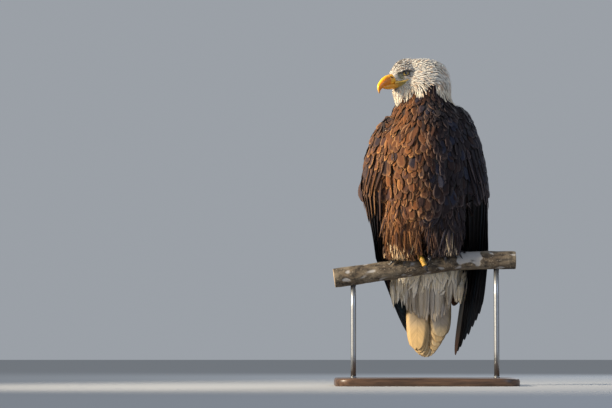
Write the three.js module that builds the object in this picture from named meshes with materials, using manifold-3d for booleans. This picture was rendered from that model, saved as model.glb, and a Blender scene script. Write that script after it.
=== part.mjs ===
// A life-size bald eagle standing upright on a cut length of branch, on a plain display stand.
// Millimetres, +Z up. The origin is the centre of the underside of the stand's base.
// The breast faces -Y, and the bird's own left side is at +X. The head is turned to the bird's right.
import * as THREE from 'three';
import { mergeVertices } from 'three/addons/utils/BufferGeometryUtils.js';
import Module from 'manifold-3d';

const wasm = await Module();
wasm.setup();

// ---------------------------------------------------------------- driving dimensions

const GAP = 0.3; // clear space between two pieces that meet
const SLIVER = 0.12; // splinters thinner than this, left along a cut, are merged away
const PERCH_HEIGHT = 312; // axis of the perch above the floor, at the middle

const PERCH = { halfLength: 236, radius: 25, slope: 0.142, bend: 95, ease: 16, sides: 14, steps: 9 };
const BASE = { length: 470, depth: 320, height: 20, corner: 46, cornerSides: 6 };
const ROD = { x: 186, radius: 7, sides: 14 };

const HEAD = {
  middle: [-62, -27, 497], // midway between the eyes, above the perch axis
  turn: 50, // degrees to the bird's right of straight ahead
  nod: 6, // degrees bill down
  eyeAside: 17,
  eyeRadius: 11,
  orbitAside: 31,
  orbitRadius: 10.5,
};
const NECK_CUT = 424; // height of the cut between trunk and neck
const VENT_CUT = 46; // height of the cut between trunk and undertail
const TAIL = { middle: 15, width: 130, feather: 42, top: 30, end: -237, thick: 4.5 };

const FOOT = { hubRadius: 15, shankRadius: 9.5, toeRadius: 7.6, clawRadius: 5.2 };

// ---------------------------------------------------------------- colours

const finish = {
  brown: { color: 0x3a2618, roughness: 0.85 },
  flight: { color: 0x1c1a1e, roughness: 0.6 },
  white: { color: 0xeee6d6, roughness: 0.85 },
  bill: { color: 0xe59a1c, roughness: 0.4 },
  eye: { color: 0xe6d27a, roughness: 0.1 },
  toe: { color: 0xe8a41e, roughness: 0.55 },
  claw: { color: 0x17151a, roughness: 0.35 },
  bark: { color: 0x6f6152, roughness: 0.9 },
  wood: { color: 0x4a3427, roughness: 0.5 },
  steel: { color: 0x8d9094, roughness: 0.35, metalness: 1 },
};

// ---------------------------------------------------------------- making solids

const radians = THREE.MathUtils.degToRad;

// A smooth function through rows of numbers whose first column is where each row applies.
function profile(rows) {
  const slope = (i, c) => {
    const a = rows[Math.max(i - 1, 0)];
    const b = rows[Math.min(i + 1, rows.length - 1)];
    return (b[c] - a[c]) / (b[0] - a[0]);
  };
  return (s) => {
    let i = 0;
    while (i < rows.length - 2 && s > rows[i + 1][0]) i += 1;
    const [low, high] = [rows[i], rows[i + 1]];
    const span = high[0] - low[0];
    const t = THREE.MathUtils.clamp((s - low[0]) / span, 0, 1);
    const rise = t * t * (3 - 2 * t);
    const leave = t * (1 - t) * (1 - t) * span;
    const arrive = -t * t * (1 - t) * span;
    return low.slice(1).map((value, c) => {
      const c1 = c + 1;
      const bend = leave * slope(i, c1) + arrive * slope(i + 1, c1);
      return value + rise * (high[c1] - value) + bend;
    });
  };
}

// A closed surface over rings of equally many points. Round ends are closed by a fan, and the
// level ends of a crescent by triangles between its own points.
function cover(rings, crescent = false) {
  const sides = rings[0].length;
  const points = rings.flat();
  const faces = [];
  for (let r = 0; r + 1 < rings.length; r += 1) {
    for (let k = 0; k < sides; k += 1) {
      const a = r * sides + k;
      const b = r * sides + ((k + 1) % sides);
      faces.push(a, b, a + sides, b, b + sides, a + sides);
    }
  }
  for (const [first, last] of [[0, false], [(rings.length - 1) * sides, true]]) {
    const triangles = crescent ? crescentEnd(points, first, sides) : fanEnd(points, first, sides);
    for (const [a, b, c] of triangles) faces.push(...(last ? [a, b, c] : [b, a, c]));
  }
  let volume = 0;
  for (let f = 0; f < faces.length; f += 3) {
    const [a, b, c] = faces.slice(f, f + 3).map((i) => points[i]);
    volume += a.dot(b.clone().cross(c));
  }
  if (volume < 0) faces.reverse();
  const geometry = new THREE.BufferGeometry().setFromPoints(points);
  geometry.setIndex(faces);
  return solidOf(geometry);
}

function fanEnd(points, first, sides) {
  const middle = new THREE.Vector3();
  for (let k = 0; k < sides; k += 1) middle.addScaledVector(points[first + k], 1 / sides);
  const hub = points.push(middle) - 1;
  return Array.from({ length: sides }, (_, k) => [first + k, first + ((k + 1) % sides), hub]);
}

function crescentEnd(points, first, sides) {
  const outline = points.slice(first, first + sides).map((p) => new THREE.Vector2(p.x, p.y));
  const backwards = THREE.ShapeUtils.isClockWise(outline);
  const triangles = THREE.ShapeUtils.triangulateShape(outline, []);
  return triangles.map(([a, b, c]) => (backwards ? [c, b, a] : [a, b, c]).map((k) => first + k));
}

// A level ring moved outwards by a distance, with its sharp corners drawn out further.
function widened(ring, distance) {
  const count = ring.length;
  let area = 0;
  ring.forEach((p, k) => {
    const q = ring[(k + 1) % count];
    area += p.x * q.y - q.x * p.y;
  });
  const outward = (p, q) => {
    const normal = new THREE.Vector3(q.y - p.y, p.x - q.x, 0).normalize();
    return normal.multiplyScalar(Math.sign(area));
  };
  return ring.map((p, k) => {
    const before = outward(ring[(k + count - 1) % count], p);
    const after = outward(p, ring[(k + 1) % count]);
    const middle = before.clone().add(after).normalize();
    const miter = distance / Math.max(middle.dot(before), 0.3);
    return p.clone().addScaledVector(middle, miter);
  });
}

function solidOf(geometry) {
  const bare = geometry.index ? geometry.clone() : geometry;
  bare.deleteAttribute('normal');
  bare.deleteAttribute('uv');
  const merged = mergeVertices(bare, 1e-4);
  const vertProperties = new Float32Array(merged.attributes.position.array);
  const triVerts = new Uint32Array(merged.index.array);
  return new wasm.Manifold(new wasm.Mesh({ numProp: 3, vertProperties, triVerts }));
}

function join(solids) {
  return solids.reduce((sum, solid) => sum.add(solid));
}

// The largest single body of a solid: slivers left by a cut are dropped.
function mainBody(solid) {
  const bodies = solid.decompose();
  return bodies.reduce((best, body) => (body.volume() > best.volume() ? body : best));
}

// Half of all space, on the side of the plane that its normal points to.
function halfSpace(normal, distance) {
  const reach = 1400;
  const box = new THREE.BoxGeometry(reach, reach, reach);
  box.translate(0, 0, reach / 2);
  const turn = new THREE.Quaternion().setFromUnitVectors(new THREE.Vector3(0, 0, 1), normal);
  box.applyQuaternion(turn);
  box.translate(...normal.clone().multiplyScalar(distance).toArray());
  return solidOf(box);
}

const above = (height) => halfSpace(new THREE.Vector3(0, 0, 1), height);
const below = (height) => halfSpace(new THREE.Vector3(0, 0, -1), -height);

const ALONG_X = new THREE.Vector3(1, 0, 0);
const ALONG_Y = new THREE.Vector3(0, 1, 0);

// A round bar along a path; across is a direction that the path never runs in.
function tube(path, radiusAt, steps, sides, across = ALONG_X) {
  const rings = [];
  for (let s = 0; s <= steps; s += 1) {
    const t = s / steps;
    const ahead = path(Math.min(t + 1e-3, 1)).clone().sub(path(Math.max(t - 1e-3, 0))).normalize();
    const side = across.clone().addScaledVector(ahead, -across.dot(ahead)).normalize();
    const up = ahead.clone().cross(side);
    const ring = [];
    for (let k = 0; k < sides; k += 1) {
      const turn = (k / sides) * 2 * Math.PI;
      const point = path(t).clone();
      point.addScaledVector(side, Math.cos(turn) * radiusAt(t));
      point.addScaledVector(up, Math.sin(turn) * radiusAt(t));
      ring.push(point);
    }
    rings.push(ring);
  }
  return cover(rings);
}

// ---------------------------------------------------------------- trunk, neck and undertail

// height, half width, depth in front, depth behind, middle x, middle y
const torsoAt = profile([
  [-100, 40, 8, 12, 14, 84],
  [-62, 82, 22, 26, 8, 78],
  [-20, 98, 34, 36, 6, 72],
  [20, 96, 38, 46, 4, 67],
  [50, 92, 66, 56, 2, 56],
  [90, 98, 98, 74, 0, 38],
  [150, 112, 114, 94, 2, 22],
  [210, 121, 121, 106, 2, 11],
  [270, 124, 120, 110, 0, 2],
  [325, 119, 110, 102, 0, -2],
  [370, 102, 92, 90, 6, -4],
  [404, 86, 72, 80, 3, -2],
  [430, 73, 60, 70, 0, 2],
  [468, 73, 58, 64, -2, 4],
  [502, 67, 50, 58, -3, 2],
  [522, 58, 42, 50, -5, 0],
  [534, 43, 31, 36, -11, -2],
  [540, 12, 9, 10, -14, -4],
]);

function torso(grow = 0) {
  const heights = [-99, -78, -48, -8, 32, 54, 82, 122, 172, 226, 278, 326, 362, 392];
  heights.push(424, 462, 498, 520, 533, 539);
  const sides = 20;
  const rings = heights.map((z) => {
    const [wide, front, back, x, y] = torsoAt(z);
    const ring = [];
    for (let k = 0; k < sides; k += 1) {
      const turn = (k / sides) * 2 * Math.PI;
      const deep = Math.sin(turn) < 0 ? front : back;
      const across = x + (wide + grow) * Math.cos(turn);
      ring.push(new THREE.Vector3(across, y + (deep + grow) * Math.sin(turn), z));
    }
    return ring;
  });
  return cover(rings);
}

// ---------------------------------------------------------------- head, bill and eyes

// In the head's own frame x is forward to the bill, y is the bird's left and z is up.
const headPlace = new THREE.Matrix4();
{
  const heading = radians(-90 - HEAD.turn);
  const turn = new THREE.Matrix4().makeRotationZ(heading);
  const nod = new THREE.Matrix4().makeRotationY(radians(HEAD.nod));
  headPlace.makeTranslation(...HEAD.middle).multiply(turn).multiply(nod);
}

function inHead(solid) {
  return solid.transform(headPlace.elements);
}

// A loft along the head's x axis from rows of forward, half width, top and bottom.
function headLoft(rows, steps, sides, grow = 0) {
  const at = profile(rows);
  const [from, to] = [rows[0][0] - grow, rows[rows.length - 1][0] + grow];
  const rings = [];
  for (let s = 0; s <= steps; s += 1) {
    const x = from + ((to - from) * (1 - Math.cos((Math.PI * s) / steps))) / 2;
    const [wide, top, bottom] = at(x);
    const ring = [];
    for (let k = 0; k < sides; k += 1) {
      const turn = (k / sides) * 2 * Math.PI;
      const z = (top + bottom) / 2 + ((top - bottom) / 2 + grow) * Math.sin(turn);
      ring.push(new THREE.Vector3(x, (wide + grow) * Math.cos(turn), z));
    }
    rings.push(ring);
  }
  return cover(rings);
}

function skull() {
  return headLoft([
    [-70, 10, 8, -20],
    [-62, 26, 26, -38],
    [-44, 36, 38, -50],
    [-22, 35, 41, -54],
    [-2, 29.5, 38, -54],
    [12, 25, 31, -50],
    [22, 20, 20, -44],
    [29, 15, 8, -40],
    [33, 9, -2, -34],
  ], 9, 16);
}

// Below the skull the throat runs down into the front of the neck.
function throat() {
  const from = new THREE.Vector3(10, 0, -30).applyMatrix4(headPlace);
  const to = new THREE.Vector3(-34, -14, 416);
  const path = (t) => from.clone().lerp(to, t);
  return tube(path, (t) => 26 + 14 * t, 3, 14);
}

// The upper bill curves down to the hook; rows run along the culmen from the forehead to the tip.
function upperBill(grow = 0) {
  const sides = 12;
  // forward and height of the ridge, forward and height of the cutting edge, half width
  const at = profile([
    [0, 22, 2, 12, -20, 12],
    [0.18, 33, 1, 27, -22, 13],
    [0.36, 46, -1, 42, -25, 12.5],
    [0.54, 60, -5, 55, -29, 11],
    [0.7, 73, -14, 64, -31, 9],
    [0.84, 83.5, -26, 71, -35, 6.3],
    [0.93, 85, -36, 77, -40.5, 3.8],
    [1, 82, -47.5, 80, -48.3, 1],
  ]);
  const rings = [];
  const steps = 11;
  for (let s = 0; s <= steps; s += 1) {
    const [rx, rz, ex, ez, wide] = at(s / steps);
    const middle = new THREE.Vector3((rx + ex) / 2, 0, (rz + ez) / 2);
    const half = new THREE.Vector3((rx - ex) / 2, 0, (rz - ez) / 2);
    half.setLength(half.length() + grow);
    const ring = [];
    for (let k = 0; k < sides; k += 1) {
      const turn = (k / sides) * 2 * Math.PI;
      const rise = Math.sin(turn);
      const over = Math.cos(turn);
      const full = rise < 0 ? Math.sqrt(Math.abs(over)) * Math.sign(over) : over;
      const point = middle.clone().addScaledVector(half, rise);
      point.y = (wide + grow) * full;
      ring.push(point);
    }
    rings.push(ring);
  }
  return cover(rings);
}

function lowerBill(grow = 0) {
  return headLoft([
    [4, 13, -16, -34],
    [20, 13, -18, -37],
    [40, 11.5, -21, -38.5],
    [56, 8.5, -24, -37.5],
    [66, 4, -28, -35],
  ], 6, 10, grow);
}

function eyeball(side, grow = 0) {
  const ball = new THREE.IcosahedronGeometry(HEAD.eyeRadius + grow, 2);
  ball.translate(0, side * HEAD.eyeAside, 0);
  return inHead(solidOf(ball));
}

// The hollow in front of an eye, between its brow and cheek.
function orbit(side) {
  const ball = new THREE.IcosahedronGeometry(HEAD.orbitRadius, 1);
  ball.scale(1.1, 1, 0.85);
  ball.translate(0, side * HEAD.orbitAside, 0);
  return inHead(solidOf(ball));
}

// ---------------------------------------------------------------- wings

// Each wing's coverts are a curved shell that wraps the flank from its front edge round to the back.
// height, reach aside, depth in front, depth behind, middle y, front edge in degrees, back edge, thickness
const WING_ROWS = {
  left: [
    [-46, 168, 30, 60, 82, 44, 164, 7],
    [0, 170, 38, 72, 70, 42, 166, 11],
    [45, 171, 38, 84, 58, 42, 166, 15],
    [90, 171, 52, 96, 43, 41, 167, 19],
    [140, 171, 68, 108, 28, 40, 167, 23],
    [200, 167, 82, 116, 13, 40, 166, 27],
    [260, 159, 86, 120, 5, 40, 164, 30],
    [320, 146, 84, 112, 0, 42, 158, 31],
    [365, 133, 74, 98, -2, 48, 150, 34],
    [398, 117, 56, 78, -2, 60, 138, 30],
    [420, 94, 34, 50, 0, 74, 124, 18],
  ],
  right: [
    [-46, 106, 24, 62, 80, 62, 164, 7],
    [0, 121, 32, 74, 70, 58, 166, 11],
    [45, 130, 36, 84, 58, 52, 166, 14],
    [90, 139, 52, 96, 43, 46, 167, 18],
    [140, 152, 68, 108, 28, 41, 167, 22],
    [200, 165, 82, 116, 13, 39, 166, 27],
    [255, 158, 86, 120, 5, 40, 164, 29],
    [305, 148, 82, 112, 0, 44, 158, 28],
    [345, 136, 72, 98, -2, 50, 150, 32],
    [372, 117, 54, 82, -2, 62, 138, 26],
    [392, 100, 36, 60, 0, 76, 124, 14],
  ],
};

function wingShell(name, grow = 0) {
  const side = name === 'left' ? 1 : -1;
  const rows = WING_ROWS[name];
  const at = profile(rows);
  const [low, high] = [rows[0][0], rows[rows.length - 1][0]];
  const steps = 11;
  const across = 8;
  const rings = [];
  for (let s = 0; s <= steps; s += 1) {
    const z = low + ((high - low) * s) / steps;
    const [reach, front, back, y, from, to, thick] = at(z);
    const ring = [];
    for (const layer of [1, -1]) {
      for (let k = 0; k <= across; k += 1) {
        const u = layer > 0 ? k / across : 1 - k / across;
        if (layer < 0 && (k === 0 || k === across)) continue;
        const turn = radians(from + (to - from) * u);
        const bulge = Math.sqrt(Math.sin(Math.PI * Math.min(Math.max(u, 0.02), 0.98)));
        const shift = layer > 0 ? 0 : -thick * bulge;
        const deep = Math.cos(turn) > 0 ? front : back;
        const x = (reach + shift) * Math.sin(turn);
        ring.push(new THREE.Vector3(side * x, y - (deep + shift) * Math.cos(turn), z));
      }
    }
    rings.push(grow > 0 ? widened(ring, grow) : ring);
  }
  if (grow > 0) {
    const lift = (ring, step) => ring.map((p) => new THREE.Vector3(p.x, p.y, p.z + step));
    rings.unshift(lift(rings[0], -grow));
    rings.push(lift(rings[rings.length - 1], grow));
  }
  return cover(rings, true);
}

// One feather as a thin blade with a shallow lens section, round at the tip.
// root and tip are points, and flat is the direction that its face looks in.
function blade({ root, tip, flat, width, thick, bow = 0 }) {
  const sides = 4;
  const along = tip.clone().sub(root);
  const side = flat.clone().cross(along).normalize();
  // share of the length, and the width there
  const outline = [[0, 0.62], [0.34, 1], [0.78, 0.94], [0.94, 0.66], [1, 0.24]];
  const rings = outline.map(([t, wide]) => {
    const middle = root.clone().addScaledVector(along, t);
    middle.addScaledVector(flat, bow * 4 * t * (1 - t));
    const ring = [];
    for (let k = 0; k < sides; k += 1) {
      const turn = (k / sides) * 2 * Math.PI;
      const corner = middle.clone().addScaledVector(side, (Math.cos(turn) * width * wide) / 2);
      corner.addScaledVector(flat, (Math.sin(turn) * thick * (0.4 + 0.6 * wide)) / 2);
      ring.push(corner);
    }
    return ring;
  });
  return cover(rings);
}

// Tips of the flight feathers from the wing's front edge round to the back:
// root angle in degrees, tip x on the wing's own side, tip y, tip height, width
const FLIGHT_TIPS = {
  left: [
    [46, 83, 60, -233, 32],
    [56, 96, 70, -214, 36],
    [66, 118, 76, -178, 38],
    [78, 138, 80, -142, 38],
    [90, 153, 84, -106, 38],
    [104, 142, 106, -116, 40],
    [120, 104, 126, -126, 44],
    [140, 60, 138, -124, 46],
    [156, 32, 138, -106, 48],
  ],
  right: [
    [66, 86, 60, -66, 32],
    [76, 66, 80, -98, 38],
    [86, 44, 112, -136, 38],
    [98, 26, 134, -182, 36],
    [112, 28, 137, -176, 38],
    [126, 36, 138, -156, 42],
    [142, 38, 138, -126, 46],
    [156, 22, 138, -106, 48],
  ],
};

function flightFeathers(name) {
  const side = name === 'left' ? 1 : -1;
  const rootHeight = 26;
  const [reach, front, back, y, , , thick] = profile(WING_ROWS[name])(rootHeight);
  const blades = FLIGHT_TIPS[name].map(([angle, tipX, tipY, tipZ, width]) => {
    const turn = radians(angle);
    const deep = Math.cos(turn) > 0 ? front : back;
    const inset = thick / 2;
    const x = (reach - inset) * Math.sin(turn);
    const root = new THREE.Vector3(side * x, y - (deep - inset) * Math.cos(turn), rootHeight);
    const tip = new THREE.Vector3(side * tipX, tipY, tipZ);
    const flat = new THREE.Vector3((side * Math.sin(turn)) / reach, -Math.cos(turn) / deep, 0).normalize();
    return blade({ root, tip, flat, width, thick: 7, bow: 3 });
  });
  return join(blades);
}

// ---------------------------------------------------------------- tail

// Twelve feathers in a closed fan, the middle pair longest and hindmost.
function tail() {
  const blades = [];
  const pairs = 6;
  for (let k = 0; k < pairs * 2; k += 1) {
    const aside = (k - (pairs - 0.5)) / (pairs - 0.5);
    const x = TAIL.middle + (aside * (TAIL.width - TAIL.feather)) / 2;
    const end = TAIL.end + 34 * aside * aside + 17 * aside;
    const y = 92 - 6 * Math.abs(aside);
    const root = new THREE.Vector3(TAIL.middle + aside * 36, y, TAIL.top);
    const tip = new THREE.Vector3(x, y + 12, end);
    const flat = new THREE.Vector3(0.12 * aside, -1, 0.05).normalize();
    blades.push(blade({ root, tip, flat, width: TAIL.feather, thick: TAIL.thick }));
  }
  return join(blades);
}

// ---------------------------------------------------------------- legs

// The perch's axis rises evenly from its left end, then eases into running level.
function perchAxis(x) {
  const past = PERCH.ease * Math.log(1 + Math.exp((x - PERCH.bend) / PERCH.ease));
  return new THREE.Vector3(x, 0, PERCH.slope * (x - past));
}

function perchSlope(x) {
  const step = 1;
  return Math.atan2(perchAxis(x + step).z - perchAxis(x - step).z, 2 * step);
}

function perchRadius(x) {
  return PERCH.radius * (1 - 0.00012 * x);
}

function perch(grow = 0) {
  const reach = PERCH.halfLength + grow;
  const path = (t) => perchAxis(-reach + 2 * reach * t);
  const radiusAt = (t) => perchRadius(-reach + 2 * reach * t) + grow;
  return tube(path, radiusAt, PERCH.steps, PERCH.sides, ALONG_Y);
}

// Each leg: middle of the foot along the perch, and its toes as the side step at root and tip,
// then the angle round the perch at root and tip, 90 being the top and 180 the front, and the claw's end.
const LEGS = {
  left: {
    x: 48,
    toes: [[-8, -30, 96, 140, 178], [2, 4, 98, 150, 188], [10, 36, 94, 134, 172], [0, -2, 78, 22, -16]],
  },
  right: {
    x: -30,
    toes: [[13, 28, 98, 184, 224], [-2, -18, 96, 138, 172], [-10, -44, 92, 126, 158], [0, 4, 78, 22, -16]],
  },
};

// A point at an angle round the perch, at a distance outside its bark.
function onPerch(x, degrees, lift) {
  const slope = perchSlope(x);
  const out = perchRadius(x) + lift;
  const round = radians(degrees);
  const point = perchAxis(x);
  point.y += Math.cos(round) * out;
  point.z += Math.sin(round) * out * Math.cos(slope);
  point.x -= Math.sin(round) * out * Math.sin(slope);
  return point;
}

function toe(leg, [root, tip, from, to], grow = 0) {
  const lift = FOOT.toeRadius + 0.8;
  const path = (t) => onPerch(leg.x + root + (tip - root) * t, from + (to - from) * t, lift);
  const pads = (t) => 1 - 0.16 * t + 0.07 * Math.cos(t * 6 * Math.PI);
  return tube(path, (t) => FOOT.toeRadius * pads(t) * (t > 0.97 ? 0.72 : 1) * 0.95 + grow, 5, 7);
}

function claw(leg, [root, tip, from, to, end], grow = 0) {
  const reach = (tip - root) * 0.5;
  const path = (t) => {
    const x = leg.x + tip + reach * t;
    const lift = FOOT.toeRadius + 2.6 * Math.sin(Math.PI * Math.min(t * 1.15, 1)) - 4.5 * t * t;
    return onPerch(x, to + (end - to) * t, lift);
  };
  return tube(path, (t) => FOOT.clawRadius * (1 - 0.88 * t ** 1.3) + grow, 4, 6);
}

function shankTop(leg) {
  return new THREE.Vector3(leg.x * 1.02, 2, 74);
}

function hub(leg, grow = 0) {
  const ball = new THREE.IcosahedronGeometry(FOOT.hubRadius + grow * 1.5, 1);
  ball.scale(1.1, 1, 0.72);
  const place = onPerch(leg.x, 90, FOOT.hubRadius * 0.72 + 0.6);
  ball.translate(place.x, place.y, place.z);
  return solidOf(ball);
}

function shank(leg, grow = 0) {
  const low = onPerch(leg.x, 90, FOOT.hubRadius);
  const high = shankTop(leg);
  const path = (t) => low.clone().lerp(high, t);
  return tube(path, (t) => FOOT.shankRadius * (1 + 0.1 * t) + grow, 2, 10);
}

// All of a leg below its thigh, grown by the gap that its neighbours keep from it.
function legRoom(leg) {
  const toes = leg.toes.flatMap((row) => [toe(leg, row, GAP), claw(leg, row, 2 * GAP)]);
  return join([hub(leg, GAP), shank(leg, GAP), ...toes]);
}

// Feathered thigh: an upright egg whose lower end narrows to the shank.
function thigh(leg, grow = 0) {
  const side = Math.sign(leg.x);
  const at = profile([
    [48, 34, 24, side * 56, -2],
    [64, 42, 36, side * 60, -4],
    [96, 47, 50, side * 58, -10],
    [140, 46, 56, side * 57, -18],
    [178, 34, 44, side * 58, -22],
    [196, 12, 16, side * 58, -24],
  ]);
  const rings = [];
  const [low, high] = [48, 196];
  const steps = 7;
  const sides = 14;
  for (let s = 0; s <= steps; s += 1) {
    const z = low + ((high - low) * s) / steps;
    const [wide, deep, x, y] = at(z);
    const ring = [];
    for (let k = 0; k < sides; k += 1) {
      const turn = (k / sides) * 2 * Math.PI;
      const lift = s === 0 ? -grow : s === steps ? grow : 0;
      const across = x + (wide + grow) * Math.cos(turn);
      ring.push(new THREE.Vector3(across, y + (deep + grow) * Math.sin(turn), z + lift));
    }
    rings.push(ring);
  }
  return cover(rings);
}

// ---------------------------------------------------------------- stand

function standBase() {
  const [halfX, halfY, r] = [BASE.length / 2, BASE.depth / 2, BASE.corner];
  const outline = new THREE.Shape();
  outline.moveTo(-halfX + r, -halfY);
  outline.lineTo(halfX - r, -halfY);
  outline.absarc(halfX - r, -halfY + r, r, -Math.PI / 2, 0);
  outline.lineTo(halfX, halfY - r);
  outline.absarc(halfX - r, halfY - r, r, 0, Math.PI / 2);
  outline.lineTo(-halfX + r, halfY);
  outline.absarc(-halfX + r, halfY - r, r, Math.PI / 2, Math.PI);
  outline.lineTo(-halfX, -halfY + r);
  outline.absarc(-halfX + r, -halfY + r, r, Math.PI, 1.5 * Math.PI);
  const settings = { depth: BASE.height, bevelEnabled: false, curveSegments: BASE.cornerSides };
  return solidOf(new THREE.ExtrudeGeometry(outline, settings));
}

function standRod(side) {
  const x = side * ROD.x;
  const low = new THREE.Vector3(x, 0, BASE.height + GAP);
  const high = new THREE.Vector3(x, 0, PERCH_HEIGHT + perchAxis(x).z);
  const path = (t) => low.clone().lerp(high, t);
  return tube(path, () => ROD.radius, 1, ROD.sides);
}

// ---------------------------------------------------------------- assembly

const bird = new THREE.Group();
bird.position.z = PERCH_HEIGHT;
const whole = new THREE.Group();
whole.add(bird);

function place(parent, name, solid, look) {
  const { vertProperties, triVerts } = mainBody(solid).setTolerance(SLIVER).getMesh();
  const geometry = new THREE.BufferGeometry();
  geometry.setAttribute('position', new THREE.BufferAttribute(new Float32Array(vertProperties), 3));
  geometry.setIndex(new THREE.BufferAttribute(new Uint32Array(triVerts), 1));
  geometry.computeVertexNormals();
  const mesh = new THREE.Mesh(geometry, new THREE.MeshStandardMaterial(look));
  mesh.name = name;
  parent.add(mesh);
}

function buildLegs(perchRoom, wingRoom) {
  for (const name of ['left', 'right']) {
    const leg = LEGS[name];
    const toes = leg.toes.map((row) => toe(leg, row));
    const claws = join(leg.toes.map((row) => claw(leg, row, 2 * GAP)));
    const foot = join([hub(leg), ...toes]).subtract(perchRoom).subtract(shank(leg, GAP)).subtract(claws);
    place(bird, `foot_${name}`, foot, finish.toe);
    leg.toes.forEach((row, k) => {
      place(bird, `claw_${name}_${k + 1}`, claw(leg, row).subtract(perchRoom), finish.claw);
    });
    place(bird, `shank_${name}`, shank(leg), finish.toe);
    const room = join([perchRoom, wingRoom, legRoom(leg)]);
    place(bird, `thigh_${name}`, thigh(leg).subtract(room), finish.brown);
  }
}

function buildHead(body) {
  // The head is parted from the neck by a plane that rises from the throat to the nape.
  const tilt = new THREE.Vector3(-0.36, -0.1, 1).normalize();
  const cut = new THREE.Vector3(-70, -20, 452).dot(tilt);
  const flesh = body.add(inHead(skull())).add(throat());
  const eyes = ['left', 'right'].map((name) => [name, name === 'left' ? 1 : -1]);
  const room = join([
    inHead(upperBill(GAP)),
    inHead(lowerBill(GAP)),
    ...eyes.flatMap(([, side]) => [eyeball(side, GAP), orbit(side)]),
  ]);
  const head = flesh.intersect(halfSpace(tilt, cut + GAP / 2)).subtract(room);
  const neck = flesh.subtract(halfSpace(tilt, cut - GAP / 2)).intersect(above(NECK_CUT + GAP / 2));
  place(bird, 'head', head, finish.white);
  place(bird, 'neck', neck.subtract(room), finish.white);
  place(bird, 'bill_upper', inHead(upperBill()), finish.bill);
  place(bird, 'bill_lower', inHead(lowerBill().subtract(upperBill(GAP))), finish.bill);
  for (const [name, side] of eyes) place(bird, `eye_${name}`, eyeball(side), finish.eye);
}

function buildBody() {
  const perchRoom = perch(GAP);
  const body = torso();
  const shells = join([wingShell('left', 2 * GAP), wingShell('right', 2 * GAP)]);
  const thighs = join([thigh(LEGS.left, GAP), thigh(LEGS.right, GAP)]);
  const feet = join([legRoom(LEGS.left), legRoom(LEGS.right)]);
  const upTo = body.intersect(below(NECK_CUT - GAP / 2));
  const clear = upTo.subtract(shells).subtract(thighs).subtract(feet).subtract(perchRoom);
  place(bird, 'trunk', clear.intersect(above(VENT_CUT + GAP / 2)), finish.brown);
  const vent = clear.intersect(below(VENT_CUT - GAP / 2));
  place(bird, 'undertail', vent, finish.white);
  const bodyRoom = torso(GAP);
  for (const name of ['left', 'right']) {
    place(bird, `wing_${name}`, wingShell(name), finish.brown);
  }
  const rectrices = tail().subtract(bodyRoom).subtract(shells);
  place(bird, 'tail', rectrices, finish.white);
  const tailRoom = tail();
  const left = flightFeathers('left').subtract(shells).subtract(bodyRoom).subtract(tailRoom);
  place(bird, 'flight_left', left, finish.flight);
  const right = flightFeathers('right').subtract(shells).subtract(bodyRoom).subtract(tailRoom);
  place(bird, 'flight_right', right.subtract(flightFeathers('left')), finish.flight);
  buildLegs(perchRoom, shells);
  buildHead(body);
}

function buildStand() {
  place(bird, 'perch', perch(), finish.bark);
  place(whole, 'stand_base', standBase(), finish.wood);
  const perchRoom = perch(GAP).translate([0, 0, PERCH_HEIGHT]);
  for (const [name, side] of [['left', 1], ['right', -1]]) {
    place(whole, `stand_rod_${name}`, standRod(side).subtract(perchRoom), finish.steel);
  }
}

buildBody();
buildStand();

export default whole;
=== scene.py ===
import itertools
import math

import bmesh
import bpy
import numpy as np
from mathutils import Matrix, Vector, noise
from mathutils.bvhtree import BVHTree


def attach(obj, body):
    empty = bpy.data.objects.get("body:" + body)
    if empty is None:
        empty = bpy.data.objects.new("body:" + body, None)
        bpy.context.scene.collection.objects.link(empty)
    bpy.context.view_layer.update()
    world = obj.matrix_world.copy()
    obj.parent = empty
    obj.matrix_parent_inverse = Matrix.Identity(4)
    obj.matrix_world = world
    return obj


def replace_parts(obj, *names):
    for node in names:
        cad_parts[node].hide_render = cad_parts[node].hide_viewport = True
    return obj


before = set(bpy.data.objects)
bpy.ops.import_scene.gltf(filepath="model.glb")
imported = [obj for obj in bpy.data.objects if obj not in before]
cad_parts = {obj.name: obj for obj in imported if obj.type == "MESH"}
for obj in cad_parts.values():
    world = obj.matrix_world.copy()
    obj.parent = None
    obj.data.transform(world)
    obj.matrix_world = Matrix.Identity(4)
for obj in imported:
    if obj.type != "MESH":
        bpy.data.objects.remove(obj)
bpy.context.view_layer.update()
rng = np.random.default_rng(11)

# Lengths are millimetres, with heights above the axis of the perch, until a mesh is made.
PERCH_HEIGHT = 312.0
PERCH_HALF = 236.0

# How far the skin lies inside the outer shape of the plumage.
COAT_DEPTH = 3.6
FACE_DEPTH = 2.2
SKIN_VOXEL = 2.6

# The head's own frame runs forward, to its left and up from the middle of the skull.
HEAD_MIDDLE = np.array([-62.0, -27.0, 497.0])
HEAD_TURN = math.radians(-140)
HEAD_NOD = math.radians(6)
EYE_ASIDE = 17.0
EYE_RADIUS = 11.0
EYE_LOOK = math.radians(32)
NECK_FOOT = 415.0

SIDE = {"left": 1, "right": -1}


# ---------------------------------------------------------------- small helpers

def smooth(low, high, value):
    t = np.clip((np.asarray(value, float) - low) / (high - low), 0, 1)
    return t * t * (3 - 2 * t)


def unit(v):
    return v / np.maximum(np.linalg.norm(v, axis=-1, keepdims=True), 1e-9)


def circle(sides):
    """Angles of that many even steps round a full turn."""
    return np.arange(sides) / sides * 2 * math.pi


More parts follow.
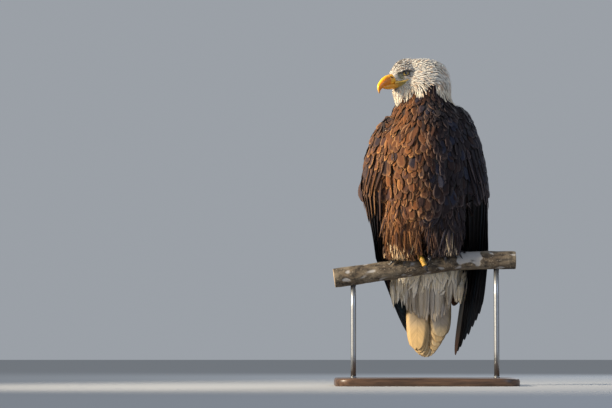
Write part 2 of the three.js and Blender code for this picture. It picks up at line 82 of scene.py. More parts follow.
def profile(rows):
    """A smooth function through rows whose first column is where each row applies."""
    rows = np.array(rows, float)
    at, values = rows[:, 0], rows[:, 1:]
    last = len(rows) - 1
    slope = np.array([
        (values[min(i + 1, last)] - values[max(i - 1, 0)])
        / (at[min(i + 1, last)] - at[max(i - 1, 0)])
        for i in range(last + 1)
    ])

    def look(s):
        s = np.asarray(s, float)
        i = np.clip(np.searchsorted(at, s, side="right") - 1, 0, last - 1)
        span = (at[i + 1] - at[i])[..., None]
        t = np.clip((s - at[i])[..., None] / span, 0, 1)
        rise = t * t * (3 - 2 * t)
        leave = t * (1 - t) ** 2 * span
        arrive = -t * t * (1 - t) * span
        return values[i] + rise * (values[i + 1] - values[i]) + leave * slope[i] + arrive * slope[i + 1]

    return look


def ripple(points, size, seed=0.0):
    """Smooth noise from -1 to 1 with features of that size."""
    shift = Vector((seed * 17.3, seed * 5.1, seed * 9.7))
    return np.array([noise.noise(Vector(p) / size + shift) for p in points])


def grid_faces(rows, columns):
    """Quads over a tube of rows of points, each row closed on itself."""
    r = np.arange(rows - 1)[:, None] * columns
    k = np.arange(columns)[None, :]
    after = (k + 1) % columns
    return np.stack([r + k, r + after, r + columns + after, r + columns + k], -1).reshape(-1, 4)


def make(name, points, faces, material=None, slot=None):
    """A smooth mesh object from points and arrays of faces, which rides on the root if it has a slot."""
    mesh = bpy.data.meshes.new(name)
    world = (np.asarray(points, float) + [0, 0, PERCH_HEIGHT]) * 0.001
    mesh.vertices.add(len(world))
    mesh.vertices.foreach_set("co", world.astype(np.float32).ravel())
    faces = [np.asarray(f, np.int32) for f in faces if len(f)]
    loops = np.concatenate([f.ravel() for f in faces])
    counts = np.concatenate([np.full(len(f), f.shape[1]) for f in faces])
    mesh.loops.add(len(loops))
    mesh.loops.foreach_set("vertex_index", loops)
    mesh.polygons.add(len(counts))
    mesh.polygons.foreach_set("loop_start", np.concatenate([[0], np.cumsum(counts)[:-1]]))
    mesh.polygons.foreach_set("use_smooth", np.ones(len(counts), bool))
    mesh.update(calc_edges=True)
    mesh.validate()
    obj = bpy.data.objects.new(name, mesh)
    bpy.context.scene.collection.objects.link(obj)
    if slot:
        mesh.materials.append(material)
        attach(obj, "root")
    return obj


def vector_attribute(obj, label, rows):
    layer = obj.data.attributes.new(label, "FLOAT_VECTOR", "POINT")
    layer.data.foreach_set("vector", np.asarray(rows, np.float32).ravel())


class Lofts:
    """Closed tubes of rings gathered into one mesh."""

    def __init__(self, *ring_sets):
        self.points, self.quads, self.triangles, self.count = [], [], [], 0
        for rings in ring_sets:
            self.add(rings)

    def add(self, rings):
        rings = np.asarray(rings, float)
        rows, columns = rings.shape[:2]
        flat = rings.reshape(-1, 3)
        k = np.arange(columns)
        after = (k + 1) % columns
        last = (rows - 1) * columns
        faces = [
            grid_faces(rows, columns),
            np.stack([after, k, np.full(columns, len(flat))], -1),
            np.stack([last + k, last + after, np.full(columns, len(flat) + 1)], -1),
        ]
        a, b, c = (flat[faces[0][:, i]] - flat.mean(0) for i in range(3))
        if np.einsum("ij,ij->", a, np.cross(b, c)) < 0:
            faces = [f[:, ::-1] for f in faces]
        self.points += [flat, rings[[0, -1]].mean(1)]
        self.quads.append(faces[0] + self.count)
        self.triangles += [fan + self.count for fan in faces[1:]]
        self.count += len(flat) + 2

    def arrays(self):
        return np.concatenate(self.points), [np.concatenate(self.quads), np.concatenate(self.triangles)]


def tree_of(points, faces):
    polygons = [tuple(int(i) for i in f) for part in faces for f in part]
    return BVHTree.FromPolygons([tuple(p) for p in points], polygons)


def tube(path, radius_at, steps, sides, across=(1, 0, 0)):
    """Rings round a path of points; across is a direction that the path never runs in."""
    t = np.linspace(0, 1, steps + 1)
    points = np.array([path(s) for s in t])
    ahead = unit(np.gradient(points, axis=0))
    across = np.array(across, float)
    side = unit(across - ahead * (ahead @ across)[:, None])
    up = np.cross(ahead, side)
    turn = circle(sides)[None, :, None]
    radius = np.array([radius_at(s) for s in t])[:, None, None]
    return points[:, None] + (np.cos(turn) * side[:, None] + np.sin(turn) * up[:, None]) * radius


def level_rings(at, z, sides):
    """Level rings at heights z, from rows of half width, depth in front and behind, middle x and middle y."""
    wide, front, back, x, y = at(z).T[:, :, None]
    turn = circle(sides)
    deep = np.where(np.sin(turn) < 0, front, back)
    return np.stack([x + wide * np.cos(turn), y + deep * np.sin(turn), np.repeat(z[:, None], sides, 1)], -1)


# ---------------------------------------------------------------- shape of the body

# height, half width, depth in front, depth behind, middle x, middle y
torso_at = profile([
    [-100, 40, 8, 12, 14, 84], [-62, 82, 22, 26, 8, 78], [-20, 98, 34, 36, 6, 72],
    [20, 96, 38, 46, 4, 67], [50, 92, 66, 56, 2, 56], [90, 98, 98, 74, 0, 38],
    [150, 112, 114, 94, 2, 22], [210, 121, 121, 106, 2, 11], [270, 124, 120, 110, 0, 2],
    [325, 119, 110, 102, 0, -2], [370, 102, 92, 90, 6, -4], [404, 86, 72, 80, 3, -2],
    [430, 73, 60, 70, 0, 2], [468, 73, 58, 64, -2, 4], [502, 67, 50, 58, -3, 2],
    [522, 58, 42, 50, -5, 0], [534, 43, 31, 36, -11, -2], [540, 12, 9, 10, -14, -4],
])


def torso_rings():
    crown = 520 + 19 * np.sin(np.linspace(0.1, 1, 12) * math.pi / 2)
    return level_rings(torso_at, np.concatenate([np.linspace(-99, 520, 98), crown]), 90)


def rotation(axis, angle):
    return np.array(Matrix.Rotation(angle, 3, axis))


HEAD_AXES = rotation("Z", HEAD_TURN) @ rotation("Y", HEAD_NOD)


def from_head(points):
    return np.asarray(points, float) @ HEAD_AXES.T + HEAD_MIDDLE


def to_head(points):
    return (np.asarray(points, float) - HEAD_MIDDLE) @ HEAD_AXES


# forward, half width, top, bottom
skull_at = profile([
    [-70, 10, 8, -20], [-62, 26, 26, -38], [-44, 36, 38, -50], [-22, 35, 41, -54], [-2, 29.5, 38, -54],
    [12, 25, 31, -50], [22, 20.5, 20, -44], [30, 17.5, 10, -28], [36, 15.5, 3.5, -20.5], [40, 13, 0, -17],
])


def head_shape(points):
    """Raises the brows, hollows the eyes and lores and fills the cheeks, in the head's own frame."""
    x, y, z = points.T
    facing = smooth(6, 15, np.abs(y))
    brow_line = 6.6 - 0.05 * x - 0.006 * (x - 3) ** 2
    over = z - brow_line
    brow = np.exp(-np.where(over > 0, over / 9.0, over / 1.9) ** 2) * smooth(-30, -8, x) * smooth(29, 17, x)
    socket = np.exp(-(((x - 5) / 11) ** 4 + ((z + 0.5) / 7.5) ** 4))
    lore = np.exp(-(((x - 19) / 8) ** 2 + ((z + 6) / 8) ** 2))
    cheek = np.exp(-(((x + 16) / 15) ** 2 + ((z + 24) / 15) ** 2))
    chin = smooth(10, 22, x) * smooth(-14, -24, z)
    shift = 5.6 * brow - 2.2 * socket - 3.0 * lore + 2.0 * cheek - 2.5 * chin
    shaped = points.copy()
    shaped[:, 1] = y + np.sign(y) * facing * shift
    return shaped


def skull_rings(steps=90, sides=120):
    x = -70 + 110 * (1 - np.cos(math.pi * np.linspace(0.02, 0.98, steps))) / 2
    wide, top, bottom = skull_at(x).T[:, :, None]
    turn = circle(sides)
    return np.stack([
        np.repeat(x[:, None], sides, 1), wide * np.cos(turn),
        (top + bottom) / 2 + (top - bottom) / 2 * np.sin(turn),
    ], -1)


def throat_rings():
    start, end = from_head([10, 0, -30]), np.array([-34.0, -14.0, 416.0])
    return tube(lambda t: start + (end - start) * t, lambda t: 26 + 14 * t, 30, 48)


# height, reach aside, depth in front, depth behind, middle y, front edge in degrees, back edge, thickness
WING_ROWS = {
    "left": profile([
        [-46, 168, 30, 60, 82, 44, 164, 7], [0, 170, 38, 72, 70, 42, 166, 11],
        [45, 171, 38, 84, 58, 42, 166, 15], [90, 171, 52, 96, 43, 41, 167, 19],
        [140, 171, 68, 108, 28, 40, 167, 23], [200, 167, 82, 116, 13, 40, 166, 27],
        [260, 159, 86, 120, 5, 40, 164, 30], [320, 146, 84, 112, 0, 42, 158, 31],
        [365, 133, 74, 98, -2, 48, 150, 34], [398, 117, 56, 78, -2, 60, 138, 30],
        [420, 94, 34, 50, 0, 74, 124, 18],
    ]),
    "right": profile([
        [-46, 106, 24, 62, 80, 62, 164, 7], [0, 121, 32, 74, 70, 58, 166, 11],
        [45, 130, 36, 84, 58, 52, 166, 14], [90, 139, 52, 96, 43, 46, 167, 18],
        [140, 152, 68, 108, 28, 41, 167, 22], [200, 165, 82, 116, 13, 39, 166, 27],
        [255, 158, 86, 120, 5, 40, 164, 29], [305, 148, 82, 112, 0, 44, 158, 28],
        [345, 136, 72, 98, -2, 50, 150, 32], [372, 117, 54, 82, -2, 62, 138, 26],
        [392, 100, 36, 60, 0, 76, 124, 14],
    ]),
}
WING_TOP = {"left": 420, "right": 392}

def on_wing(name, z, turn, sink=0.0):
    """The point of a wing's outer face at a height and at an angle from the front, in radians."""
    reach, front, back, y, _, _, _ = np.moveaxis(WING_ROWS[name](z), -1, 0)
    deep = np.where(np.cos(turn) > 0, front, back)
    x = (reach - sink) * np.sin(turn)
    return np.stack(np.broadcast_arrays(SIDE[name] * x, y - (deep - sink) * np.cos(turn), z), -1)


def wing_rings(name, steps=70, across=40):
    u = np.linspace(0, 1, across)
    bulge = np.sqrt(np.sin(math.pi * np.clip(u, 0.02, 0.98)))
    rings = []
    for z in np.linspace(-6, WING_TOP[name] - 1, steps):
        row = WING_ROWS[name](z)
        start, end = np.radians(row[4:6])
        turn = start + (end - start) * u
        level = np.full(across, z)
        outer = on_wing(name, level, turn)
        inner = on_wing(name, level, turn, np.maximum(row[6], 12) * bulge)
        rings.append(np.concatenate([outer, inner[::-1][1:-1]]))
    return np.array(rings)


# Middle x of each leg, and for each toe: x of its root and tip from there, and the angles round
# the perch at which the toe starts, the toe ends and the claw ends.
LEGS = {
    "left": dict(x=48, toes=[
        (-8, -30, 96, 140, 178), (2, 4, 98, 150, 188), (10, 36, 94, 134, 172), (0, -2, 78, 22, -16),
    ]),
    "right": dict(x=-30, toes=[
        (13, 28, 98, 184, 224), (-2, -18, 96, 138, 172), (-10, -44, 92, 126, 158), (0, 4, 78, 22, -16),
    ]),
}


def thigh_rings(s):
    at = profile([
        [48, 34, 24, 24, s * 56, -2], [64, 42, 36, 36, s * 60, -4], [96, 47, 50, 50, s * 58, -10],
        [140, 46, 56, 56, s * 57, -18], [178, 34, 44, 44, s * 58, -22], [196, 12, 16, 16, s * 58, -24],
    ])
    return level_rings(at, np.linspace(48, 196, 40), 44)


# ---------------------------------------------------------------- the skin

def neighbour_mean(values, edges, count):
    total = np.zeros_like(values)
    times = np.zeros(count)
    for a, b in ((0, 1), (1, 0)):
        np.add.at(total, edges[:, a], values[edges[:, b]])
        np.add.at(times, edges[:, a], 1)
    return total / np.maximum(times, 1)[:, None]


PARTS = {
    "torso": [torso_rings()],
    "head": [from_head(skull_rings()), throat_rings()],
    "wing_left": [wing_rings("left")],
    "wing_right": [wing_rings("right")],
    "thigh_left": [thigh_rings(1)],
    "thigh_right": [thigh_rings(-1)],
}
part_trees = {part: tree_of(*Lofts(*ring_sets).arrays()) for part, ring_sets in PARTS.items()}

skin = make("skin", *Lofts(*itertools.chain(*PARTS.values())).arrays())
remesh = skin.modifiers.new("voxels", "REMESH")
remesh.mode = "VOXEL"
remesh.voxel_size = SKIN_VOXEL * 0.001
evaluated = skin.evaluated_get(bpy.context.evaluated_depsgraph_get())
skin_mesh = bpy.data.meshes.new_from_object(evaluated)
skin.modifiers.clear()
skin.data = skin_mesh


def subdivide_face(mesh):
    """Quarters the skin's faces round the eyes and bill."""
    work = bmesh.new()
    work.from_mesh(mesh)
    middles = np.array([e.verts[0].co + e.verts[1].co for e in work.edges]) * 500 - [0, 0, PERCH_HEIGHT]
    local = to_head(middles)
    near = (local[:, 0] > -22) & (np.abs(local[:, 2] + 6) < 36)
    work.edges.ensure_lookup_table()
    chosen = [work.edges[int(i)] for i in np.flatnonzero(near)]
    bmesh.ops.subdivide_edges(work, edges=chosen, cuts=1, use_grid_fill=True, smooth=0.6)
    bmesh.ops.triangulate(work, faces=[f for f in work.faces if len(f.verts) > 4])
    work.to_mesh(mesh)
    work.free()


subdivide_face(skin_mesh)
count = len(skin_mesh.vertices)
co = np.zeros(count * 3)
skin_mesh.vertices.foreach_get("co", co)
co = co.reshape(-1, 3) * 1000 - [0, 0, PERCH_HEIGHT]
edges = np.zeros(len(skin_mesh.edges) * 2, int)
skin_mesh.edges.foreach_get("vertices", edges)
edges = edges.reshape(-1, 2)


def skin_normals():
    normals = np.zeros(count * 3)
    skin_mesh.vertices.foreach_get("normal", normals)
    return normals.reshape(-1, 3)


def put_skin(points):
    skin_mesh.vertices.foreach_set("co", ((points + [0, 0, PERCH_HEIGHT]) * 0.001).ravel())
    skin_mesh.update()


def relaxed(points, times, share):
    for _ in range(times):
        points = points + (neighbour_mean(points, edges, count) - points) * share
    return points


local = to_head(co)
co = relaxed(co, 5, 0.6)
put_skin(co)
depth = COAT_DEPTH + (FACE_DEPTH - COAT_DEPTH) * smooth(-60, -20, local[:, 0]) * smooth(450, 480, co[:, 2])
co = relaxed(co - skin_normals() * depth[:, None], 3, 0.5)

# The skin is drawn in under the middle of each eyeball, so that only the lids meet it.
eye_axis = {s: np.array([math.sin(EYE_LOOK), s * math.cos(EYE_LOOK), 0.03]) for s in (1, -1)}


def round_eye(local, s):
    """How far points lie along the gaze of the eye on side s, and their way off that line."""
    from_eye = local - [0, s * EYE_ASIDE, 0]
    along = from_eye @ eye_axis[s]
    return along, from_eye - along[:, None] * eye_axis[s]


LID_SHAPE = [1, 1, 1.45]
local = to_head(co)
on_head = smooth(-40, -28, local[:, 0]) * smooth(-60, -48, local[:, 2])
local += (head_shape(local) - local) * on_head[:, None]
for s in (1, -1):
    along, off = round_eye(local, s)
    within = smooth(10.5, 8.2, np.linalg.norm(off * LID_SHAPE, axis=1)) * (along > 2)
    far = np.linalg.norm(local - [0, s * EYE_ASIDE, 0], axis=1)
    local -= eye_axis[s] * ((along - 5.0) * within * (far < 20))[:, None]
co = from_head(local)
put_skin(co)
skin_mesh.polygons.foreach_set("use_smooth", np.ones(len(skin_mesh.polygons), bool))

skin_faces = [tuple(p.vertices) for p in skin_mesh.polygons]
skin_tree = BVHTree.FromPolygons([tuple(p) for p in co], skin_faces)


def part_of(points):
    """Name of the part of the body that each point of the skin belongs to."""
    reach = np.array([[tree.find_nearest(Vector(p))[3] for tree in part_trees.values()] for p in points])
    return np.array(list(part_trees))[reach.argmin(1)]


# ---------------------------------------------------------------- colours of the plumage

def rgb(*values):
    return np.array(values, float)


CHESTNUT = rgb(0.185, 0.066, 0.020)
UMBER = rgb(0.040, 0.017, 0.010)
SOOT = rgb(0.013, 0.010, 0.013)
# Bright tan of feather edges: the pale edges' own colour with painted sunlight on them.
SUNLIT_TAN = rgb(0.62, 0.31, 0.105)
# Grey-beige of painted shade on the plumage, tail, tail coverts and fringe.
SHADE_TAUPE = rgb(0.135, 0.100, 0.098)
# Blue-black of a painted sky sheen on dark feathers.
SHEEN_SLATE = rgb(0.020, 0.026, 0.038)
SNOW = rgb(0.82, 0.795, 0.74)
CREAM = rgb(0.82, 0.67, 0.43)
PEACH = rgb(0.66, 0.44, 0.29)
# Gold of painted sunlight on the tail.
SUNLIT_GOLD = rgb(0.58, 0.36, 0.13)
OLIVE = rgb(0.36, 0.27, 0.07)


def mix(a, b, share):
    return a + (b - a) * np.asarray(share)[..., None]


# across, height of the lowest white roots
border_at = profile([
    [-80, 430], [-62, 436], [-40, 450], [-26, 457], [-12, 448],
    [4, 454], [20, 472], [33, 456], [50, 444], [80, 424],
])


def border_height(x, y):
    """Height at which the white of the neck meets the brown of the body."""
    front = border_at(np.clip(x, -80, 80))[..., 0]
    return 442 + (front - 442) * smooth(30, -10, y) + 4 * np.sin(y * 0.11 + x * 0.07)


def whiteness(points, parts):
    x, y, z = points.T
    head = smooth(-2, 2, z - border_height(x, y))
    vent = smooth(58, 44, z) * smooth(18, 34, y)
    return np.where(parts == "head", head, np.where(parts == "torso", np.maximum(head, vent), 0))


def plumage(points, parts, spread):
    """Middle and edge colour of the plumage at each point, with painted sunlight on the left and front and
    painted shade on the right; spread is a random share for each.
    """
    x, y, z = points.T
    patch = ripple(points, 34, 3) * 0.5 + 0.5
    # Painted light: feathers are chestnut with bright edges where the key falls, on the left and front, and
    # darker towards the right and back as painted shade.
    sunlit = smooth(45, -45, x + 14 * ripple(points, 60, 8)) * (0.55 + 0.45 * smooth(60, -40, y))
    dark_share = smooth(0.35, 0.75, np.abs(np.sin(spread * 47.0)) * 0.7 + 0.45 * patch)
    brown = mix(UMBER, CHESTNUT, np.clip(sunlit * (0.25 + 0.9 * spread), 0, 1))
    # Painted shade: dark gaps between the feathers, stronger towards the shaded right and tinted blue like
    # shadow under sky light.
    gap = smooth(0.15, 0.5, ripple(points, 19, 21)) * (0.5 + 0.5 * smooth(-60, 30, x))
    # Darkening that is partly painted shade (the shaded side and the gaps) and partly feathers that are
    # darker at random.
    shade_and_dark = 0.62 * (1 - sunlit) + 0.50 * dark_share * (1 - 0.5 * spread) + 0.55 * gap
    brown = mix(brown, SOOT, np.clip(shade_and_dark, 0, 0.92))
    brown = mix(brown, rgb(0.018, 0.026, 0.052), 0.55 * gap)
    edge = mix(SHADE_TAUPE, SUNLIT_TAN, np.clip(sunlit * (1.15 - 0.5 * dark_share), 0, 1))
    edge = mix(edge, brown, 0.5 * gap)
    edge = mix(edge, brown, np.clip(0.25 + 0.85 * np.abs(np.sin(spread * 91.0)) * (1 - 0.25 * sunlit), 0, 1))
    wing = np.char.startswith(parts, "wing")
    # The wing feathers take a painted blue sheen.
    brown = np.where(wing[:, None], mix(brown, SHEEN_SLATE, 0.45), brown)
    white = whiteness(points, parts)
    pale = mix(SNOW, CREAM, np.clip(0.1 + 0.7 * patch * spread + 0.35 * smooth(480, 450, z), 0, 1))
    pale = mix(pale, PEACH, 0.75 * smooth(0.70, 0.92, spread) * smooth(400, 430, z))
    rim = mix(SNOW, CREAM, 0.25 * patch)
    return mix(brown, pale, white), mix(edge, rim, white)


# ---------------------------------------------------------------- feathers

# Each shape of vane: shares of its length, its width at each, and places across it.
CONTOUR = dict(
    along=np.array([0, 0.2, 0.42, 0.62, 0.78, 0.9, 0.97, 1.0]),
    wide=np.array([0.28, 0.66, 0.9, 1.0, 0.96, 0.74, 0.46, 0.16]),
    across=np.array([-1, -0.55, 0, 0.55, 1]),
)
HACKLE = dict(
    along=np.array([0, 0.28, 0.58, 0.82, 0.95, 1.0]),
    wide=np.array([0.4, 0.85, 1.0, 0.72, 0.36, 0.1]),
    across=np.array([-1, 0, 1]),
)
LANCE = dict(
    along=np.array([0, 0.2, 0.42, 0.62, 0.78, 0.9, 1.0]),
    wide=np.array([0.3, 0.74, 1.0, 0.92, 0.66, 0.36, 0.08]),
    across=np.array([-1, -0.5, 0, 0.5, 1]),
)


TUFT_PATCH = 0.003


class Coat:
    """Many thin closed vanes gathered into one mesh, with the values its material reads."""

    def __init__(self, name):
        self.name = name
        self.points, self.quads, self.triangles = [], [], []
        self.paint, self.rim, self.vane, self.uv = [], [], [], []
        self.count = 0

    def add(self, middles, normals, aheads, half_width, shape, paint, rim, place, spread,
            thick=0.22, camber=0.09, ragged=0.0, strip=None):
        """Vanes whose middles, normals and directions are arrays of vane, station, xyz."""
        vanes, stations = middles.shape[:2]
        across = shape["across"]
        wide = shape["wide"][None, :] * half_width[:, None]
        side = unit(np.cross(aheads, normals))
        top_count = len(across)
        under = across[1:-1][::-1]
        u = np.concatenate([across, under])
        ring = len(u)
        lower = np.concatenate([np.zeros(top_count), np.ones(top_count - 2)])
        drop = camber * half_width[:, None, None] * u[None, None, :] ** 2 * shape["wide"][None, :, None]
        points = middles[:, :, None] + side[:, :, None] * (wide[:, :, None] * u)[..., None]
        height = -drop - lower * thick
        points = points + normals[:, :, None] * height[..., None]
        if ragged:
            worn = rng.uniform(-1, 1, (vanes, stations, ring)) * ragged * shape["along"][None, :, None] ** 3
            worn[:, :, top_count:] = worn[:, :, 1:top_count - 1][:, :, ::-1]
            reach = np.linalg.norm(middles[:, -1] - middles[:, 0], axis=-1)
            points = points + aheads[:, :, None] * (worn * reach[:, None, None])[..., None]
        self.points.append(points.reshape(-1, 3))
        own = self.count + np.arange(vanes)[:, None, None] * (stations * ring)
        self.quads.append((grid_faces(stations, ring)[None] + own).reshape(-1, 4))
        corners = np.array([(0, 1, ring - 1), (top_count - 2, top_count - 1, top_count)])
        strips = np.array([(j, j + 1, ring - j - 1, ring - j) for j in range(1, top_count - 2)])
        for end in (0, stations - 1):
            for cap, store in ((corners, self.triangles), (strips, self.quads)):
                if len(cap):
                    cap = cap + end * ring if end else cap[:, ::-1]
                    store.append((cap[None] + own).reshape(-1, cap.shape[1]))
        shown = (vanes, stations, ring)
        full = np.broadcast_to
        if paint.ndim == 2:
            paint = paint[:, None]
        self.paint.append(full(paint[:, :, None], shown + (3,)).reshape(-1, 3))
        self.rim.append(full(rim[:, None, None], shown + (3,)).reshape(-1, 3))
        a = full(u, shown)
        t = full(shape["along"][:, None], shown)
        self.vane.append(np.stack([a, t, full(spread[:, None, None], shown)], -1).reshape(-1, 3))
        if strip is None:
            left, foot = place[:, None, None, 0], place[:, None, None, 1]
            patch = [left + (a * 0.5 + 0.1 * lower) * TUFT_PATCH, foot + (t - 0.5) * TUFT_PATCH]
        else:
            left, foot, head, wide = [strip[:, k, None, None] for k in range(4)]
            patch = [left + (a * 0.42 + 0.5 + 0.05 * lower) * wide, foot + (head - foot) * t]
        self.uv.append(np.stack(patch, -1).reshape(-1, 2))
        self.count += vanes * stations * ring

    def build(self, slot, *replaced):
        faces = [np.concatenate(self.quads), np.concatenate(self.triangles)]
        obj = make(self.name, np.concatenate(self.points), faces, COAT_LOOKS[slot], slot)
        mesh = obj.data
        for label, rows in (("Paint", self.paint), ("Rim", self.rim), ("Vane", self.vane)):
            vector_attribute(obj, label, np.concatenate(rows))
        owner = np.zeros(len(mesh.loops), int)
        mesh.loops.foreach_get("vertex_index", owner)
        uv = np.concatenate(self.uv)[owner].astype(np.float32)
        mesh.uv_layers.new(name="OFBake").data.foreach_set("uv", uv.ravel())
        if replaced:
            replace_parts(obj, *replaced)


def facing_path(middles, facing):
    """Middles of vanes, normals as near to the given way as they can be, and directions along the vanes."""
    aheads = unit(np.gradient(middles, axis=1))
    return middles, unit(facing - aheads * (facing * aheads).sum(-1, keepdims=True)), aheads


def lie_along(roots, ways, lengths, shape, low, high):
    """Walks each feather over the skin from its root; low and high are its height at root and tip."""
    stiff = 0.35
    stations = shape["along"]
    middles = np.zeros((len(roots), len(stations), 3))
    normals = np.zeros_like(middles)
    at, way = roots, unit(ways)
    for i, share in enumerate(stations):
        if i:
            at = at + way * (lengths * (share - stations[i - 1]))[:, None]
        found = [skin_tree.find_nearest(Vector(p)) for p in at]
        near = np.array([f[0] for f in found])
        normal = np.array([f[1] for f in found])
        if i:
            normal = unit(normals[:, i - 1] * stiff + normal * (1 - stiff))
            gap = ((at - near) * normal).sum(1)
            near = near + normal * np.clip(gap, 0, None)[:, None] * stiff
        at = near
        way = unit(way - normal * (way * normal).sum(1)[:, None])
        normals[:, i] = normal
        middles[:, i] = near
    rise = low + (high - low)[:, None] * stations[None] ** 1.15
    return facing_path(middles + normals * rise[..., None], normals)


def scatter(candidates, sizes, order):
    """Keeps the candidates that stand at least their own size apart, the first in order first."""
    cell = float(np.median(sizes)) * 0.75
    kept, grid = [], {}
    keys = np.floor(candidates / cell).astype(int)
    for i in order:
        span = int(math.ceil(sizes[i] / cell))
        cells = itertools.product(*(range(k - span, k + span + 1) for k in keys[i]))
        near = (candidates[i] - candidates[j] for key in cells for j in grid.get(key, ()))
        if all(d[0] * d[0] + d[1] * d[1] + d[2] * d[2] >= sizes[i] * sizes[i] for d in near):
            kept.append(i)
            grid.setdefault(tuple(keys[i]), []).append(i)
    return np.array(kept)


def sample_skin(density, where):
    """Random points over the skin's faces, about density of them for each square millimetre."""
    corners = co[skin_triangles]
    centre = corners.mean(1)
    use = where(centre)
    corners = corners[use]
    area = np.linalg.norm(np.cross(corners[:, 1] - corners[:, 0], corners[:, 2] - corners[:, 0]), axis=1) / 2
    amount = int(area.sum() * density)
    pick = rng.choice(len(corners), amount, p=area / area.sum())
    u, v = rng.random((2, amount))
    over = u + v > 1
    u, v = np.where(over, 1 - u, u), np.where(over, 1 - v, v)
    c = corners[pick]
    return c[:, 0] + u[:, None] * (c[:, 1] - c[:, 0]) + v[:, None] * (c[:, 2] - c[:, 0])


skin_mesh.calc_loop_triangles()
skin_triangles = np.zeros(len(skin_mesh.loop_triangles) * 3, int)
skin_mesh.loop_triangles.foreach_get("vertices", skin_triangles)
skin_triangles = skin_triangles.reshape(-1, 3)


def unwrap(points, parts):
    """Place of each root on an unwrap of the body: round it and up it, each part in its own columns."""
    x, y, z = points.T
    turn = np.arctan2(x, -(y - 20)) / (2 * math.pi) + 0.5
    up = (z + 110) / 660
    columns = {
        "torso": (0.02, 0.44), "head": (0.02, 0.44), "wing_left": (0.5, 0.2), "wing_right": (0.72, 0.2),
        "thigh_left": (0.94, 0.025), "thigh_right": (0.97, 0.025),
    }
    left, width = np.array([columns[p] for p in parts]).T
    return np.stack([left + turn * width, 0.02 + up * 0.96], -1)


# ---------------------------------------------------------------- materials

class Look:
    """A material made of nodes, with short calls for the nodes that the object uses."""

    def __init__(self, name, rough, **inputs):
        self.material = bpy.data.materials.new(name)
        self.material.use_nodes = True
        self.nodes = self.material.node_tree.nodes
        self.shader = self.nodes["Principled BSDF"].inputs
        self.shader["Roughness"].default_value = rough
        for label, value in inputs.items():
            self.shader[label.replace("_", " ")].default_value = value

    def put(self, value, socket):
        """Sets a socket to a number or a colour, or links another node's output to it."""
        if isinstance(value, (int, float)):
            socket.default_value = value
        elif isinstance(value, tuple):
            socket.default_value = (*value, 1)
        else:
            self.material.node_tree.links.new(value, socket)

    def node(self, kind, vector=None, **settings):
        made = self.nodes.new("ShaderNode" + kind)
        for key, value in settings.items():
            if key in made.inputs.keys():
                made.inputs[key].default_value = value
            else:
                setattr(made, key, value)
        if vector is not None:
            self.put(vector, made.inputs["Vector"])
        return made

    def attribute(self, label):
        return self.node("Attribute", attribute_name=label).outputs

    def split(self, label):
        """The three values of a mesh attribute."""
        parts = self.node("SeparateXYZ")
        self.put(self.attribute(label)["Vector"], parts.inputs[0])
        return parts.outputs

    def join(self, *values):
        made = self.node("CombineXYZ")
        for value, socket in zip(values, made.inputs):
            self.put(value, socket)
        return made.outputs[0]

    def stretched(self, *scale):
        """The place on the object, stretched by those factors."""
        return self.node("Mapping", self.node("TexCoord").outputs["Object"], Scale=scale).outputs[0]

    def noise(self, scale, detail, rough=0.5, vector=None):
        return self.node("TexNoise", vector, Scale=scale, Detail=detail, Roughness=rough).outputs["Fac"]

    def cells(self, scale, vector=None):
        return self.node("TexVoronoi", vector, Scale=scale).outputs["Distance"]

    def math(self, operation, a, b, clamp=False):
        made = self.node("Math", operation=operation, use_clamp=clamp)
        self.put(a, made.inputs[0])
        self.put(b, made.inputs[1])
        return made.outputs[0]

    def times(self, a, b, clamp=False):
        return self.math("MULTIPLY", a, b, clamp)

    def ramp(self, value, low, high):
        made = self.node("MapRange", interpolation_type="SMOOTHSTEP")
        for label, number in (("Value", value), ("From Min", low), ("From Max", high)):
            self.put(number, made.inputs[label])
        return made.outputs["Result"]

    def mix(self, a, b, share, kind="MIX"):
        made = self.node("Mix", data_type="RGBA", blend_type=kind)
        for value, place in ((share, 0), (a, 6), (b, 7)):
            self.put(value, made.inputs[place])
        return made.outputs[2]

    def finish(self, color, height=None, strength=0.0, distance=0.0006):
        """Gives the surface its colour, and a fine relief if there is a height."""
        self.put(color, self.shader["Base Color"])
        if height is not None:
            bump = self.node("Bump", Strength=strength, Distance=distance)
            self.put(height, bump.inputs["Height"])
            self.put(bump.outputs[0], self.shader["Normal"])
        return self.material


def grained(name, rough, scale, detail, dark, light):
    """A surface clouded between two colours."""
    look = Look(name, rough)
    return look.finish(look.mix(dark, light, look.noise(scale, detail)))


def feather_material(name, rough, sheen, rim_from, barb_depth, shaft, gloss):
    """Colour from the vane's own middle and edge colours, with barbs across it and a shaft along it."""
    look = Look(name, rough, Specular_IOR_Level=gloss, Sheen_Weight=sheen, Sheen_Roughness=0.5)
    across, along, spread = look.split("Vane")
    aside = look.math("ABSOLUTE", across, 0.0)
    slant = look.math("SUBTRACT", look.times(along, 22.0), look.times(aside, 3.2))
    place = look.join(slant, look.times(across, 0.6), look.times(spread, 91.0))
    barbs = look.noise(1.6, 3.0, 0.65, place)
    bright = look.math("MAXIMUM", look.ramp(aside, rim_from, 1.0), look.ramp(along, 0.80, 0.99))
    frayed = look.times(bright, look.ramp(barbs, 0.22, 0.56), True)
    color = look.mix(look.attribute("Paint")["Color"], look.attribute("Rim")["Color"], frayed)
    color = look.mix(color, look.math("ADD", look.times(barbs, 0.75), 0.62), 1.0, "MULTIPLY")
    shaft_line = look.times(look.ramp(aside, 0.09, 0.03), shaft)
    color = look.mix(color, look.mix(color, (0.02, 0.016, 0.014), 0.55), shaft_line)
    # Painted shade: each vane darkens towards its root, where the vanes above overlap it.
    color = look.mix(color, look.mix(color, (0.02, 0.017, 0.017), 0.45), look.ramp(along, 0.42, 0.0))
    return look.finish(color, barbs, barb_depth)


